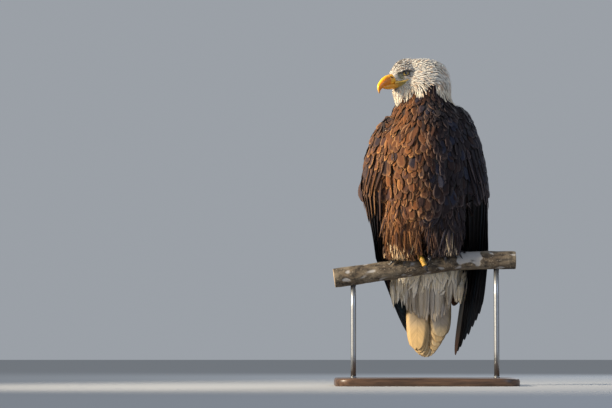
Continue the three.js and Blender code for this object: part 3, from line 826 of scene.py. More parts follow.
brown_coat = feather_material("brown_feathers", 0.80, 0.06, 0.30, 0.9, 0.5, 0.15)
flight_coat = feather_material("flight_feathers", 0.60, 0.0, 0.74, 0.5, 0.8, 0.16)
white_coat = feather_material("white_feathers", 0.85, 0.05, 0.55, 0.6, 0.25, 0.12)
COAT_LOOKS = {"brown_feathers": brown_coat, "flight_feathers": flight_coat, "white_feathers": white_coat}


# ---------------------------------------------------------------- contour feathers of the body

def body_spacing(points, parts):
    x, y, z = points.T
    back = smooth(10, 60, y)
    spacing = 8.8 + 3.4 * smooth(400, 300, z) + 3.0 * back * smooth(60, 120, z) - 6.0 * smooth(170, 60, z)
    wing = np.char.startswith(parts, "wing")
    spacing = np.where(wing, 10.0 + 7.5 * smooth(385, 215, z), spacing)
    thigh = np.char.startswith(parts, "thigh")
    spacing = np.where(thigh, 7.0 - 1.4 * smooth(90, 55, z), spacing)
    vent = (parts == "torso") & (z < 50) & (y > 25)
    return np.where(vent, 9.0, spacing)


def body_ways(points, parts):
    """The lie of the coat: down the body, and back along the wings."""
    x, y, z = points.T
    down = np.tile([0.0, 0.0, -1.0], (len(points), 1))
    wing = np.char.startswith(parts, "wing")
    down[:, 0] += 0.0016 * x * ~wing
    down[:, 1] += 0.22 * wing
    loose = np.where(wing, 0.10, 0.15 + 0.12 * smooth(170, 70, z))
    down[:, 0] += (0.5 * wing + 1.0 * ~wing) * (0.34 * ripple(points, 38, 12) + 0.16 * ripple(points, 16, 13))
    down += rng.normal(0, 1, down.shape) * loose[:, None]
    return unit(down)


def visible(points):
    """Whether nothing of the body stands close in front of each place on the skin."""
    seen = []
    for p in points:
        near, normal, _, _ = skin_tree.find_nearest(Vector(p))
        reach = 6.0 if p[2] > NECK_FOOT else 26.0
        seen.append(skin_tree.ray_cast(near + normal * 1.5, normal, reach)[0] is None)
    return np.array(seen)


def cover_body():
    candidates = sample_skin(0.055, lambda c: c[:, 2] < 490)
    parts = part_of(candidates)
    x, y, z = candidates.T
    wing = np.char.startswith(parts, "wing")
    keep = whiteness(candidates, np.where(z > 300, "head", parts)) * (z > 200) < 0.5
    keep &= ~(wing & (z < 205))
    keep &= visible(candidates)
    candidates, parts = candidates[keep], parts[keep]
    varied = 0.72 + 0.62 * rng.random(len(candidates))
    varied = varied * (1 - 0.25 * wing[keep] * smooth(340, 390, candidates[:, 2]))
    sizes = body_spacing(candidates, parts) * varied
    kept = scatter(candidates, sizes, rng.permutation(len(candidates)))
    roots, parts, sizes = candidates[kept], parts[kept], sizes[kept]
    amount = len(roots)
    x, y, z = roots.T
    spread = rng.random(amount)
    paint, rim = plumage(roots - [0, 0, 4] * (z[:, None] > NECK_FOOT), parts, spread)
    vent = whiteness(roots, parts) > 0.5
    thigh = np.char.startswith(parts, "thigh")
    wing = np.char.startswith(parts, "wing")
    fluffy = np.maximum(thigh, smooth(150, 70, z) * ~wing * ~vent)
    shoulder = smooth(330, 380, z) * np.maximum(wing, smooth(60, 80, np.abs(x)))
    ruffle = smooth(0.0, 0.6, ripple(roots, 30, 15)) * ~wing
    length = sizes * (2.8 + 1.0 * rng.random(amount)) * np.where(vent, 1.7, 1) * (1 + 0.55 * fluffy)
    length = length * (1 - 0.35 * shoulder)
    half = sizes * (0.78 + 0.26 * rng.random(amount)) * (1 - 0.36 * fluffy) * np.where(vent, 0.75, 1)
    high = 3.0 + 2.6 * rng.random(amount) + 1.6 * fluffy + 2.8 * ruffle + 1.2 * wing
    high = high * (1 - 0.5 * shoulder)
    ways = body_ways(roots, parts)
    narrow = ((z > 350) & ~wing & (x < 20)) | (z > NECK_FOOT) | (fluffy > 0.4) | vent
    narrow |= rng.random(amount) < 0.15
    place = unwrap(roots, parts)
    groups = {
        "coat_breast": ~vent & ~wing & (y < 15),
        "coat_back": ~vent & ~wing & (y >= 15),
        "coat_wing_left": parts == "wing_left",
        "coat_wing_right": parts == "wing_right",
        "coat_undertail": vent,
    }
    for name, chosen in groups.items():
        coat = Coat(name)
        for pointed, shape in ((True, LANCE), (False, CONTOUR)):
            use = chosen & (narrow == pointed)
            if not use.any():
                continue
            middles, normals, aheads = lie_along(roots[use], ways[use], length[use], shape, 0.4, high[use])
            tilt = rng.normal(0, 0.20, use.sum())[:, None, None]
            normals = unit(normals + np.cross(aheads, normals) * tilt)
            coat.add(middles, normals, aheads, half[use] * (0.86 if pointed else 1), shape, paint[use],
                     rim[use], place[use], spread[use], camber=0.06, ragged=0.06)
        coat.build("white_feathers" if name == "coat_undertail" else "brown_feathers")


# ---------------------------------------------------------------- hackles of the head and neck

SPECK = rgb(0.085, 0.050, 0.028)


def face_marks(local, paint):
    """Adds to white the grey lores, a painted shadow of the brow over each eye and the olive root of the
    bill.
    """
    x, y, z = local.T
    # Painted shade: the dark line under the brow over each eye stands for the brow's shadow.
    line = np.exp(-((z - 5.2 + 0.10 * x) / 2.6) ** 2) * (np.abs(y) > 9)
    line = line * smooth(-15, -6, x) * smooth(31, 24, x)
    paint = mix(paint, rgb(0.40, 0.37, 0.22), np.clip(1.1 * lores(local), 0, 1))
    paint = mix(paint, rgb(0.055, 0.040, 0.030), 0.9 * line)
    return mix(paint, mix(OLIVE, rgb(0.62, 0.34, 0.035), smooth(10, 30, x)), mandible(local))


def lores(local):
    """The nearly bare patch between eye and bill, in the head's own frame."""
    forward = local[:, 0] - 20
    return np.exp(-((forward / 9) ** 4 + ((local[:, 2] + 6 - 0.25 * forward) / 8) ** 4))


def mandible(local):
    """The bare skin at the root of the lower bill."""
    x, z = local[:, 0], local[:, 2]
    gape = -17.0 - 0.16 * x
    below_gape = smooth(gape + 1.5, gape - 0.5, z)
    return smooth(3, 6, x) * below_gape * smooth(gape - 4.5 - 0.5 * x, gape - 2.0 - 0.5 * x, z)


def cover_head():
    candidates = sample_skin(0.30, lambda c: c[:, 2] > 425)
    parts = part_of(candidates)
    local = to_head(candidates)
    keep = whiteness(candidates, np.where(parts == "torso", "head", parts)) > 0.9
    keep &= ~np.char.startswith(parts, "wing")
    for s in (1, -1):
        along, off = round_eye(local, s)
        keep &= ~((np.linalg.norm(off * [1, 1, 1.5], axis=1) < 10.6) & (along > 0))
    keep &= ~((local[:, 0] > 36) & (local[:, 2] < 4))
    keep &= ~(mandible(local) > 0.4)
    keep &= rng.random(len(local)) > 0.55 * (lores(local) > 0.4)
    candidates, local = candidates[keep], local[keep]
    behind = smooth(22, -30, local[:, 0])
    below = smooth(475, 440, candidates[:, 2])
    size = 1.55 + 1.15 * behind + 1.7 * np.maximum(below, 0.55 * smooth(-25, -60, local[:, 0]))
    kept = scatter(candidates, size, rng.permutation(len(candidates)))
    roots, local, size, behind, below = (v[kept] for v in (candidates, local, size, behind, below))
    amount = len(roots)
    forward, aside, up = local.T
    fall = 0.22 + 0.5 * smooth(-34, -84, forward) + 0.55 * smooth(-18, -50, up) + 0.5 * below
    fall = np.clip(fall, 0, 1)
    ways = mix(-HEAD_AXES[:, 0], np.array([0, 0, -1.0]), fall)
    ways = ways + (aside * 0.004 * (1 - fall))[:, None] * HEAD_AXES[:, 1]
    ways = ways + rng.normal(0, 0.07, (amount, 3)) * (0.4 + 0.6 * behind)[:, None]
    near_eye = np.full(amount, 99.0)
    for s in (1, -1):
        along, off = round_eye(local, s)
        far = np.where(along > 0, np.linalg.norm(off, axis=1), 99.0)
        ways = ways + (unit(off) @ HEAD_AXES.T) * (0.9 * np.exp(-(far / 13) ** 2))[:, None]
        near_eye = np.minimum(near_eye, far)
    length = size * (3.6 + 1.4 * rng.random(amount)) * (1 + 0.5 * below)
    length = length * (0.45 + 0.55 * smooth(10, 19, near_eye))
    half = size * (0.46 + 0.12 * rng.random(amount))
    nape = smooth(-20, -50, forward) * smooth(-50, -10, up)
    high = 1.0 + 1.2 * behind + 2.6 * below + 3.2 * nape + 1.4 * rng.random(amount) * (0.3 + behind)
    spread = rng.random(amount)
    on_head = np.full(amount, "head")
    paint, rim = (face_marks(local, colour) for colour in plumage(roots, on_head, spread))
    speck = rng.random(amount) < 0.46 * smooth(-14, 2, forward) * smooth(5, 10, up)
    speck |= rng.random(amount) < 0.05 * smooth(-2, -12, up) * smooth(-50, -20, forward) * (1 - below)
    paint = mix(paint, SPECK, 0.9 * speck)
    rim = mix(rim, rgb(0.20, 0.13, 0.08), 0.7 * speck)
    turned = np.arctan2(aside, -forward) / (2 * math.pi)
    raised = np.arctan2(up + 10, np.hypot(forward, aside)) / math.pi
    globe = 0.5 + np.stack([turned, raised], -1)
    neck = below >= 0.35
    for name, use, place in (("coat_head", ~neck, globe), ("coat_neck", neck, unwrap(roots, on_head))):
        coat = Coat(name)
        path = lie_along(roots[use], ways[use], length[use], HACKLE, 0.25, high[use])
        coat.add(*path, half[use], HACKLE, paint[use], rim[use], place[use], spread[use],
                 thick=0.25, ragged=0.02)
        coat.build("white_feathers")


# ---------------------------------------------------------------- long feathers of the wings and tail

QUILL = dict(
    along=np.array([0, 0.08, 0.17, 0.27, 0.37, 0.47, 0.57, 0.67, 0.76, 0.84, 0.9, 0.945, 0.975, 0.993, 1.0]),
    wide=np.array([0.5, 0.66, 0.8, 0.9, 0.96, 1.0, 1.0, 0.99, 0.96, 0.9, 0.8, 0.66, 0.48, 0.28, 0.1]),
    across=np.array([-1, -0.6, -0.2, 0.2, 0.6, 1]),
)

# Tips of the flight feathers from the wing's front edge round to the back:
# root angle in degrees, tip x on the wing's own side, tip y, tip height, half width
FLIGHT_TIPS = {
    "left": profile([
        [0, 46, 83, 60, -233, 15], [1, 56, 96, 70, -214, 17], [2, 66, 118, 76, -178, 18],
        [3, 78, 138, 80, -142, 18], [4, 90, 153, 84, -106, 18], [5, 104, 142, 106, -116, 19],
        [6, 120, 104, 126, -112, 21], [7, 140, 60, 138, -96, 22], [8, 156, 32, 138, -90, 23],
    ]),
    "right": profile([
        [0, 66, 86, 60, -66, 15], [1, 76, 66, 80, -98, 17], [2, 86, 44, 112, -136, 18],
        [3, 98, 26, 134, -182, 17], [4, 112, 28, 137, -176, 18], [5, 126, 36, 138, -156, 20],
        [6, 142, 38, 138, -126, 22], [7, 156, 22, 138, -106, 23],
    ]),
}
FLIGHT_COUNT = {"left": 17, "right": 14}
FLIGHT_LAST_TIP = {"left": 8, "right": 7}
ROOT_BAND = 26.0
WING_SPINE = np.array([0, 22, 0])

# Rows of coverts: height of the roots, length, half width, number, depth under the wing's face,
# and the foot of their strips on the unwrap
COVERT_ROWS = ((300, 84, 14.5, 16, 1.2, 0.02), (266, 112, 15.5, 15, 2.4, 0.02))


def strips(total, foot=0.02, head=0.98):
    """Where each long feather lies on the unwrap: left edge, foot, head and width."""
    left = 0.02 + 0.96 * np.arange(total) / total
    return np.column_stack([left, np.full(total, foot), np.full(total, head), np.full(total, 0.9 / total)])


def flight_feathers(name):
    total = FLIGHT_COUNT[name]
    stations = QUILL["along"]
    front_edge = float(WING_ROWS[name](190.0)[4])
    middles, halves, paints, rims, spreads = [], [], [], [], []
    for k in range(total):
        share = k / (total - 1)
        angle, tip_x, tip_y, tip_z, half = FLIGHT_TIPS[name](share * FLIGHT_LAST_TIP[name])
        start_angle = front_edge + 5 + (162 - front_edge) * share
        top = 228 - 30 * math.sin(math.pi * share) + rng.uniform(-5, 5)
        z = top + (tip_z + rng.uniform(-4, 4) - top) * stations
        swing = smooth(top, ROOT_BAND, z)
        turn = math.radians(start_angle) * (1 - swing) + math.radians(angle) * swing
        points = on_wing(name, np.maximum(z, ROOT_BAND), turn, 5.4 - 3.6 * share)
        past = np.clip((ROOT_BAND - z) / (ROOT_BAND - tip_z), 0, 1)[:, None]
        points[:, 2] = z
        points[:, :2] += (np.array([SIDE[name] * tip_x, tip_y]) - points[-1, :2]) * past
        middles.append(points)
        halves.append(half * 1.06)
        spreads.append(rng.random())
        # Painted sheen: a blue of sky light in the dark vanes, and a teal glint on the rims of the middle
        # ones.
        blue_sheen = mix(SOOT, rgb(0.014, 0.027, 0.038), 0.2 + 0.8 * rng.random())
        # Painted shade: the outermost and innermost vanes of the left wing are darkened, paint and rims
        # alike.
        shade = 0.35 if name == "left" and (k < 3 or k > total - 3) else 1.0
        paints.append(mix(blue_sheen, UMBER, 0.35 * rng.random()) * shade)
        glint = rgb(0.034, 0.066, 0.086) * (0.4 + 0.9 * rng.random())
        rims.append(mix(UMBER * 2.0, glint, (0.55 + 0.45 * rng.random()) * (k in range(2, 9))) * shade)
    middles, halves, paints, rims, spreads = map(np.array, (middles, halves, paints, rims, spreads))
    coat = Coat(f"flight_{name}_feathers")
    path = facing_path(middles, unit((middles - WING_SPINE) * [1, 1, 0]))
    coat.add(*path, halves, QUILL, paints, rims, None, spreads, thick=0.7, camber=0.13, strip=strips(total))
    coat.build("flight_feathers", f"flight_{name}")


def covert_rows(name):
    """Rows of larger coverts between the small ones of the shoulder and the flight feathers."""
    coat = Coat(f"coverts_{name}")
    stations = QUILL["along"]
    for top, drop, half, total, depth, foot in COVERT_ROWS:
        top -= 34 * (name == "right")
        start, end = (float(v) for v in WING_ROWS[name](top - 30)[4:6])
        share = (np.arange(total) + 0.5) / total
        turns = np.radians(start + 3 + (end - start - 4) * share)
        z_root = top + 14 * np.sin(share * math.pi) - 26 * share + rng.uniform(-4, 4, total)
        length = drop * (0.9 + 0.2 * rng.random(total))
        z = z_root[:, None] - length[:, None] * stations
        turn = turns[:, None] + np.radians(9) * stations * np.linspace(1, 0.2, total)[:, None]
        middles = np.stack([on_wing(name, z[i], turn[i], depth - 1.5 * stations) for i in range(total)])
        spread = rng.random(total)
        paint, rim = plumage(middles[:, 4], np.full(total, f"wing_{name}"), spread)
        paint = mix(paint * 0.55, SOOT, 0.35)
        path = facing_path(middles, unit((middles - WING_SPINE) * [1, 1, 0]))
        coat.add(*path, np.full(total, half), QUILL, paint, rim, None, spread,
                 thick=0.5, camber=0.15, ragged=0.01, strip=strips(total, foot, foot + 0.46))
    coat.build("brown_feathers")


def hanging(name, roots, tips, half, paint, rim, spread, slot, places, bow):
    """Vanes hung straight from root to tip, facing forwards and bowed by some millimetres."""
    stations = LANCE["along"]
    middles = roots[:, None] + (tips - roots)[:, None] * stations[None, :, None]
    middles[..., 1] -= bow * np.sin(math.pi * stations)
    facing = np.tile([0, -1.0, 0.05], (len(roots), 1))
    facing[:, 0] = rng.normal(0, 0.3, len(roots))
    coat = Coat(name)
    coat.add(*facing_path(middles, unit(facing)[:, None]), half, LANCE, paint, rim, places, spread,
             thick=0.3, camber=0.1, ragged=0.03)
    coat.build(slot)


def front_of(x, z):
    """Depth of the skin's front face at each place across and up."""
    depths = []
    for a, c in zip(x, z):
        hit = skin_tree.ray_cast(Vector((a, -400, c)), Vector((0, 1, 0)), 800)
        depths.append(hit[0][1] if hit[0] is not None else 40.0)
    return np.array(depths)


def belly_fringe():
    """Loose feathers of the belly and thighs that hang over the toes, parted round the one toe that shows."""
    x = rng.uniform(-104, 92, 1100)
    x = x[(x < -16) | (x > 4)]
    amount = len(x)
    z = 38 + 92 * rng.random(amount) ** 1.4
    y = front_of(x, z)
    end = np.where(x < 0, 9, 13) + 8 * np.abs(rng.normal(0, 1, amount)) + 0.10 * np.abs(x + 6) * (x > 0)
    end = np.where(np.abs(x + 6) < 22, end + 12, end)
    end = np.maximum(end, z - 46 - 16 * rng.random(amount))
    tip_x = x + rng.normal(0, 8.5, amount) + np.where(x < -60, 5, 0) - np.where(x > 60, 4, 0)
    tip_y = np.minimum(np.where(end > 42, front_of(tip_x, end) - 4, y + 8), -38.0) - rng.uniform(0, 5, amount)
    roots = np.column_stack([x, y + 1.0, z])
    tips = np.column_stack([tip_x, tip_y, end])
    parts = np.where(x < 0, "thigh_right", "thigh_left")
    spread = rng.random(amount)
    paint, rim = plumage(roots, parts, spread)
    pale = (end < 34) & (rng.random(amount) < 0.62 * np.exp(-((x + 74) / 26) ** 2))
    pale |= (end < 40) & (rng.random(amount) < 0.5 * np.exp(-((x - 62) / 15) ** 2))
    # Painted light: pale tips are sunlit cream on the left and greyed as painted shade on the right.
    sunny, shaded = mix(CREAM, SUNLIT_TAN, 0.2 + 0.4 * spread), mix(SHADE_TAUPE, CREAM, 0.15 + 0.3 * spread)
    sun_and_shade_cream = np.where((x < 0)[:, None], sunny, shaded)
    to_tip = smooth(0.35, 0.8, LANCE["along"])[None] * (0.9 * pale)[:, None]
    paint = mix(paint[:, None], sun_and_shade_cream[:, None], to_tip)
    rim = mix(rim, sun_and_shade_cream, 0.75 * pale)
    hanging("coat_fringe", roots, tips, 1.7 + 1.9 * rng.random(amount), paint, rim, spread,
            "brown_feathers", unwrap(roots, parts), bow=4.0)


# Loose clumps beside the tail: middle, height of the tips, spread across, number of feathers
SKIRT_CLUMPS = (
    (-74, -86, 10, 52), (-62, -76, 11, 34), (100, -88, 10, 52),
    (86, -82, 12, 36), (-50, -92, 9, 20), (66, -90, 9, 20),
)
TAIL_MIDDLE = 15.0


def tail_coverts():
    """Long soft coverts that run from under the belly on to the tail, with loose clumps at either side."""
    rows = []
    for _ in range(90):
        x = rng.uniform(-44, 74)
        start = rng.uniform(-64, -22)
        aside = x - TAIL_MIDDLE
        end = -98 - 52 * rng.random() * (1 - (abs(aside) / 75) ** 2)
        tip_x = TAIL_MIDDLE + aside * 0.92 + rng.normal(0, 3)
        rows.append((x, start, tip_x, 80 - rng.uniform(0, 5), end, 6 + 3 * rng.random()))
    for middle, low, spread_x, number in SKIRT_CLUMPS:
        for _ in range(number):
            x = min(max(middle + rng.normal(0, spread_x), -88), 112)
            rows.append((x, rng.uniform(-52, -12), middle + (x - middle) * 0.45, 62 + rng.uniform(-8, 8),
                         low + rng.normal(0, 9), 2.6 + 2.2 * rng.random()))
    x, start, tip_x, tip_y, end, half = np.array(rows).T
    y = front_of(x, start)
    roots = np.column_stack([x, np.minimum(y, 74) + 1.0, start])
    tips = np.column_stack([tip_x, tip_y, end])
    amount = len(x)
    spread = rng.random(amount)
    # Painted shade: the middle coverts are greyed towards shade taupe, while the clumps at the sides keep
    # their white.
    paint = mix(mix(SNOW, CREAM, 0.5 + 0.4 * spread), SHADE_TAUPE, 0.40 + 0.25 * rng.random(amount))
    aside = smooth(52, 72, np.abs(x - TAIL_MIDDLE))
    paint = mix(paint, mix(SNOW, CREAM, 0.3 + 0.6 * spread), 0.9 * aside)
    rim = mix(paint, mix(SNOW, CREAM, spread), 0.35)
    hanging("coat_tail_coverts", roots, tips, half, paint, rim, spread, "white_feathers",
            unwrap(roots, np.full(amount, "torso")), bow=-2.0)


TAIL_PAIRS = 6
TAIL_END = -237.0


def tail_feathers():
    total = TAIL_PAIRS * 2
    stations = QUILL["along"]
    across = (np.arange(total) - (TAIL_PAIRS - 0.5)) / (TAIL_PAIRS - 0.5)
    middles, paints, rims = [], [], []
    for k, aside in enumerate(across):
        end = TAIL_END + 34 * aside * aside + 17 * aside + 1
        y = 92 - 7 * abs(aside) + (0.5 if k % 2 else -0.5)
        root = np.array([TAIL_MIDDLE + aside * 26, y, 30.0])
        tip = np.array([TAIL_MIDDLE + 0.5 + aside * 32, y + 12, end])
        path = root + (tip - root) * stations[:, None]
        path[:, 1] += 3.0 * np.sin(math.pi * stations) - 2 * smooth(0.85, 1, stations)
        middles.append(path)
        tint = rng.random()
        # Painted light: the upper part of each feather is greyed as painted shadow of the perch and body, and
        # the end and rims turn sunlit gold; the sunlit end reaches further up towards negative x.
        shaded = mix(mix(SNOW, CREAM, 0.6 + 0.3 * tint), SHADE_TAUPE, 0.45 + 0.15 * rng.random())
        sunny = mix(CREAM * 0.74, SUNLIT_GOLD, 0.35 + 0.4 * tint)
        from_end = smooth(0.60 + 0.24 * max(aside, 0), 0.84 + 0.14 * max(aside, 0), stations)
        paints.append(mix(shaded, sunny, from_end))
        rims.append(mix(CREAM * 0.8, SUNLIT_GOLD, 0.2 + 0.6 * tint))
    facing = unit(np.stack([0.16 * across, np.full(total, -1.0), np.full(total, 0.05)], -1))[:, None]
    coat = Coat("tail_feathers")
    half = 21 + 9.5 * np.abs(across) ** 4
    coat.add(*facing_path(np.array(middles), facing), half, QUILL, np.array(paints), np.array(rims), None,
             rng.random(total), thick=0.7, camber=0.025, ragged=0.006, strip=strips(total))
    coat.build("white_feathers", "tail")


# ---------------------------------------------------------------- skin surface

def dress_skin():
    """The skin's colours: those of the plumage that grows on each part of it, darkened as painted shade where
    the skin shows between the feathers.
    """
    parts = part_of(co)
    paint = plumage(co, parts, np.full(count, 0.5))[0]
    # Painted shade: the skin is darker than its plumage, most under the brown.
    paint = paint * (0.75 - 0.4 * (whiteness(co, parts) < 0.5))[:, None]
    local = to_head(co)
    lids = np.zeros(count)
    for s in (1, -1):
        along, off = round_eye(local, s)
        lids = np.maximum(lids, smooth(14.0, 11.5, np.linalg.norm(off * LID_SHAPE, axis=1)) * (along > 0))
    on_face = (co[:, 2] > 450) & (local[:, 0] > -30)
    paint = np.where(on_face[:, None], face_marks(local, paint), paint)
    vector_attribute(skin, "Paint", mix(paint, rgb(0.060, 0.048, 0.038), lids))
    look = Look("skin", 0.8)
    grain = look.node("TexNoise", Scale=420.0, Detail=3.0).outputs["Color"]
    color = look.mix(look.attribute("Paint")["Color"], grain, 0.35, "MULTIPLY")
    skin_mesh.materials.clear()
    skin_mesh.materials.append(look.finish(color))
    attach(skin, "root")
    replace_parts(skin, "head", "neck", "trunk", "undertail",
                "thigh_left", "thigh_right", "wing_left", "wing_right")


# ---------------------------------------------------------------- eyes and lids

def eye_frame(s):
    """Level, up and forward directions of an eye in the head's own frame."""
    axis = unit(eye_axis[s])
    level = unit(np.cross([0, 0, 1.0], axis))
    return np.stack([level, np.cross(axis, level), axis])


def ball(radius, rows=48, columns=64):
    """Rings of a ball round +Z, from its back to its front."""
    up = np.linspace(math.pi - 0.02, 0.02, rows)[:, None]
    turn = circle(columns)
    return radius * np.stack([
        np.sin(up) * np.cos(turn), np.sin(up) * np.sin(turn), np.repeat(np.cos(up), columns, 1),
    ], -1)


PUPIL = 4.05
IRIS = 8.55


def eye_material():
    look = Look("eye", 0.06, Specular_IOR_Level=0.7, Coat_Weight=0.6, Coat_Roughness=0.03)
    off, level, up = look.split("Gaze")
    spokes = look.join(look.times(level, 26.0), look.times(up, 26.0), look.times(off, 0.5))
    color = look.mix((0.34, 0.21, 0.03), (0.58, 0.42, 0.10), look.noise(1.0, 3.0, vector=spokes))
    color = look.mix(color, (0.24, 0.15, 0.06), look.ramp(off, IRIS - 2.35, IRIS - 0.35))
    color = look.mix((0.004, 0.004, 0.004), color, look.ramp(off, PUPIL - 0.15, PUPIL + 0.15))
    return look.finish(look.mix(color, (0.10, 0.07, 0.05), look.ramp(off, IRIS - 0.25, IRIS + 0.25)))


# The lid's section from its inner edge out over the skin and back under: share of the opening, and
# distance from the middle of the eyeball
LID_SECTION = (
    (0.96, 10.6), (0.98, 11.5), (1.05, 12.25), (1.18, 12.6), (1.36, 12.35), (1.6, 11.5),
    (1.75, 10.2), (1.5, 9.0), (1.15, 9.3),
)
LID_HALF_WIDTH = 8.2
LID_HIGH = 3.7
LID_LOW = 5.2


def eyeball(name, s, glass):
    rings = ball(EYE_RADIUS)
    rings[..., 2] += 0.9 * smooth(9.6, 11, rings[..., 2])
    middle = [0, s * EYE_ASIDE, 0]
    obj = make(f"eyeball_{name}", *Lofts(from_head(rings @ eye_frame(s) + middle)).arrays(), glass, "eye")
    flat = np.concatenate([rings.reshape(-1, 3), rings[[0, -1]].mean(1)])
    off = np.linalg.norm(flat[:, :2], axis=1)
    off = np.where(flat[:, 2] < 0, 20.0, off)
    vector_attribute(obj, "Gaze", np.column_stack([off, flat[:, :2] / np.maximum(off, 0.3)[:, None]]))
    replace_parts(obj, f"eye_{name}")


def lids(name, s, look):
    turn = circle(72)
    opening = np.stack([
        LID_HALF_WIDTH * np.cos(turn), np.where(np.sin(turn) > 0, LID_HIGH, LID_LOW) * np.sin(turn),
    ], -1)
    opening[:, 1] += 0.35 * np.cos(turn) * s - 0.1
    rows = []
    for grow, out in LID_SECTION:
        flat = opening * grow
        rows.append(np.column_stack([flat, np.sqrt(np.maximum(out ** 2 - (flat ** 2).sum(1), 4.0))]))
    # the lid is a closed ring, so its rows of points join back on themselves
    columns = np.array(rows).transpose(1, 0, 2) @ eye_frame(s) + [0, s * EYE_ASIDE, 0]
    n, m = columns.shape[:2]
    i, j = np.meshgrid(np.arange(n), np.arange(m), indexing="ij")
    after, beside = (i + 1) % n * m, (j + 1) % m
    quads = np.stack([i * m + j, i * m + beside, after + beside, after + j], -1).reshape(-1, 4)[:, ::-1]
    recalculate(make(f"lids_{name}", from_head(columns).reshape(-1, 3), [quads], look, "toe_skin"))


def eyes():
    glass = eye_material()
    lid_look = grained("eyelid", 0.45, 900.0, 2.0, (0.035, 0.028, 0.024), (0.12, 0.10, 0.08))
    for name, s in SIDE.items():
        eyeball(name, s, glass)
        lids(name, s, lid_look)


def recalculate(obj):
    work = bmesh.new()
    work.from_mesh(obj.data)
    bmesh.ops.recalc_face_normals(work, faces=work.faces)
    work.to_mesh(obj.data)
    work.free()


# ---------------------------------------------------------------- bill

# share of the length, ridge forward and up, cutting edge forward and up, half width
upper_at = profile([
    [0, 22, 2, 12, -20, 12], [0.18, 33, 1, 27, -22, 13], [0.36, 46, -1, 42, -25, 12.5],
    [0.54, 60, -5, 55, -29, 11], [0.7, 73, -14, 64, -31, 9], [0.84, 83.5, -26, 71, -35, 6.3],
    [0.93, 85, -36, 77.5, -40.5, 3.6], [1, 82, -47.5, 80.5, -48.3, 0.8],
])
# forward, half width, top, bottom
lower_at = profile([
    [4, 13, -16, -34], [20, 13, -18, -37], [40, 11.5, -21, -38.5], [56, 8.5, -24, -37.5], [66, 4, -28, -35],
])
CERE_END = 0.40


def bill_material():
    look = Look("bill_horn", 0.32)
    along, rise, low = look.split("Horn")
    cloud = look.noise(95.0, 4.0, 0.6)
    color = look.mix((0.62, 0.15, 0.005), (0.78, 0.25, 0.008), cloud)
    color = look.mix(color, (0.93, 0.52, 0.02), look.ramp(rise, 0.62, 0.97))
    color = look.mix(color, (0.86, 0.42, 0.03), look.ramp(along, CERE_END + 0.02, CERE_END - 0.02))
    color = look.mix(color, (0.50, 0.24, 0.05), look.ramp(along, 0.90, 1.0))
    under = look.mix((0.74, 0.30, 0.015), (0.34, 0.24, 0.045), look.ramp(low, 0.62, 0.05))
    color = look.mix(color, under, look.math("GREATER_THAN", low, 0.001))
    # Painted shade inside the nostril slit.
    color = look.mix(color, (0.11, 0.012, 0.003), look.times(low, -1.0, True))
    return look.finish(color, cloud, 0.18)


def upper_bill(horn, steps=90, sides=72):
    t = np.linspace(0, 1, steps)[:, None]
    rx, rz, ex, ez, wide = upper_at(t[:, 0]).T[:, :, None]
    rise, over = np.sin(circle(sides)), np.cos(circle(sides))
    full = np.where(rise < 0, np.sqrt(np.abs(over)) * np.sign(over), over * (1 - 0.10 * rise ** 2))
    swell = 1 + 0.04 * smooth(CERE_END + 0.012, CERE_END - 0.012, t) * smooth(-0.02, 0.1, t)
    x = (rx + ex) / 2 + (rx - ex) / 2 * rise * swell
    y = wide * swell * full
    z = (rz + ez) / 2 + (rz - ez) / 2 * rise * swell
    # the nostril is a slanting slit in the cere, and a shallow groove runs above the cutting edge
    u, v = (x - 42) * 0.92 + (z + 8.5) * 0.38, (z + 8.5) * 0.92 - (x - 42) * 0.38
    slit = np.exp(-((u / 4.4) ** 4 + (v / 2.1) ** 4))
    groove = np.exp(-((rise + 0.62) / 0.12) ** 2) * smooth(0.1, 0.3, t) * smooth(0.85, 0.6, t)
    y = y - np.sign(y) * (2.4 * slit + 0.35 * groove)
    obj = make("beak_upper", *Lofts(from_head(np.stack([x, y, z], -1))).arrays(), horn, "bill_horn")
    # The third value marks the nostril slit, which the horn material darkens as painted shade.
    info = np.stack(np.broadcast_arrays(t, rise, -1.3 * slit), -1).reshape(-1, 3)
    vector_attribute(obj, "Horn", np.concatenate([info, [[0, 0, 0], [1, 0, 0]]]))
    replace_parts(obj, "bill_upper")


def lower_bill(horn, steps=50, sides=72):
    x = 4 + 62 * (1 - np.cos(math.pi * np.linspace(0.02, 1, steps)[:, None])) / 2
    wide, top, bottom = lower_at(x[:, 0]).T[:, :, None]
    rise, over = np.sin(circle(sides)), np.cos(circle(sides))
    full = np.sign(over) * np.abs(over) ** 0.8
    rings = np.broadcast_arrays(x, wide * full, (top + bottom) / 2 + (top - bottom) / 2 * rise)
    obj = make("beak_lower", *Lofts(from_head(np.stack(rings, -1))).arrays(), horn, "bill_horn")
    info = np.zeros((steps, sides, 3))
    info[..., 2] = np.clip((x - 4) / 62, 0.01, 1)
    vector_attribute(obj, "Horn", np.concatenate([info.reshape(-1, 3), [[0, 0, 0.01], [0, 0, 1]]]))
    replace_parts(obj, "bill_lower")


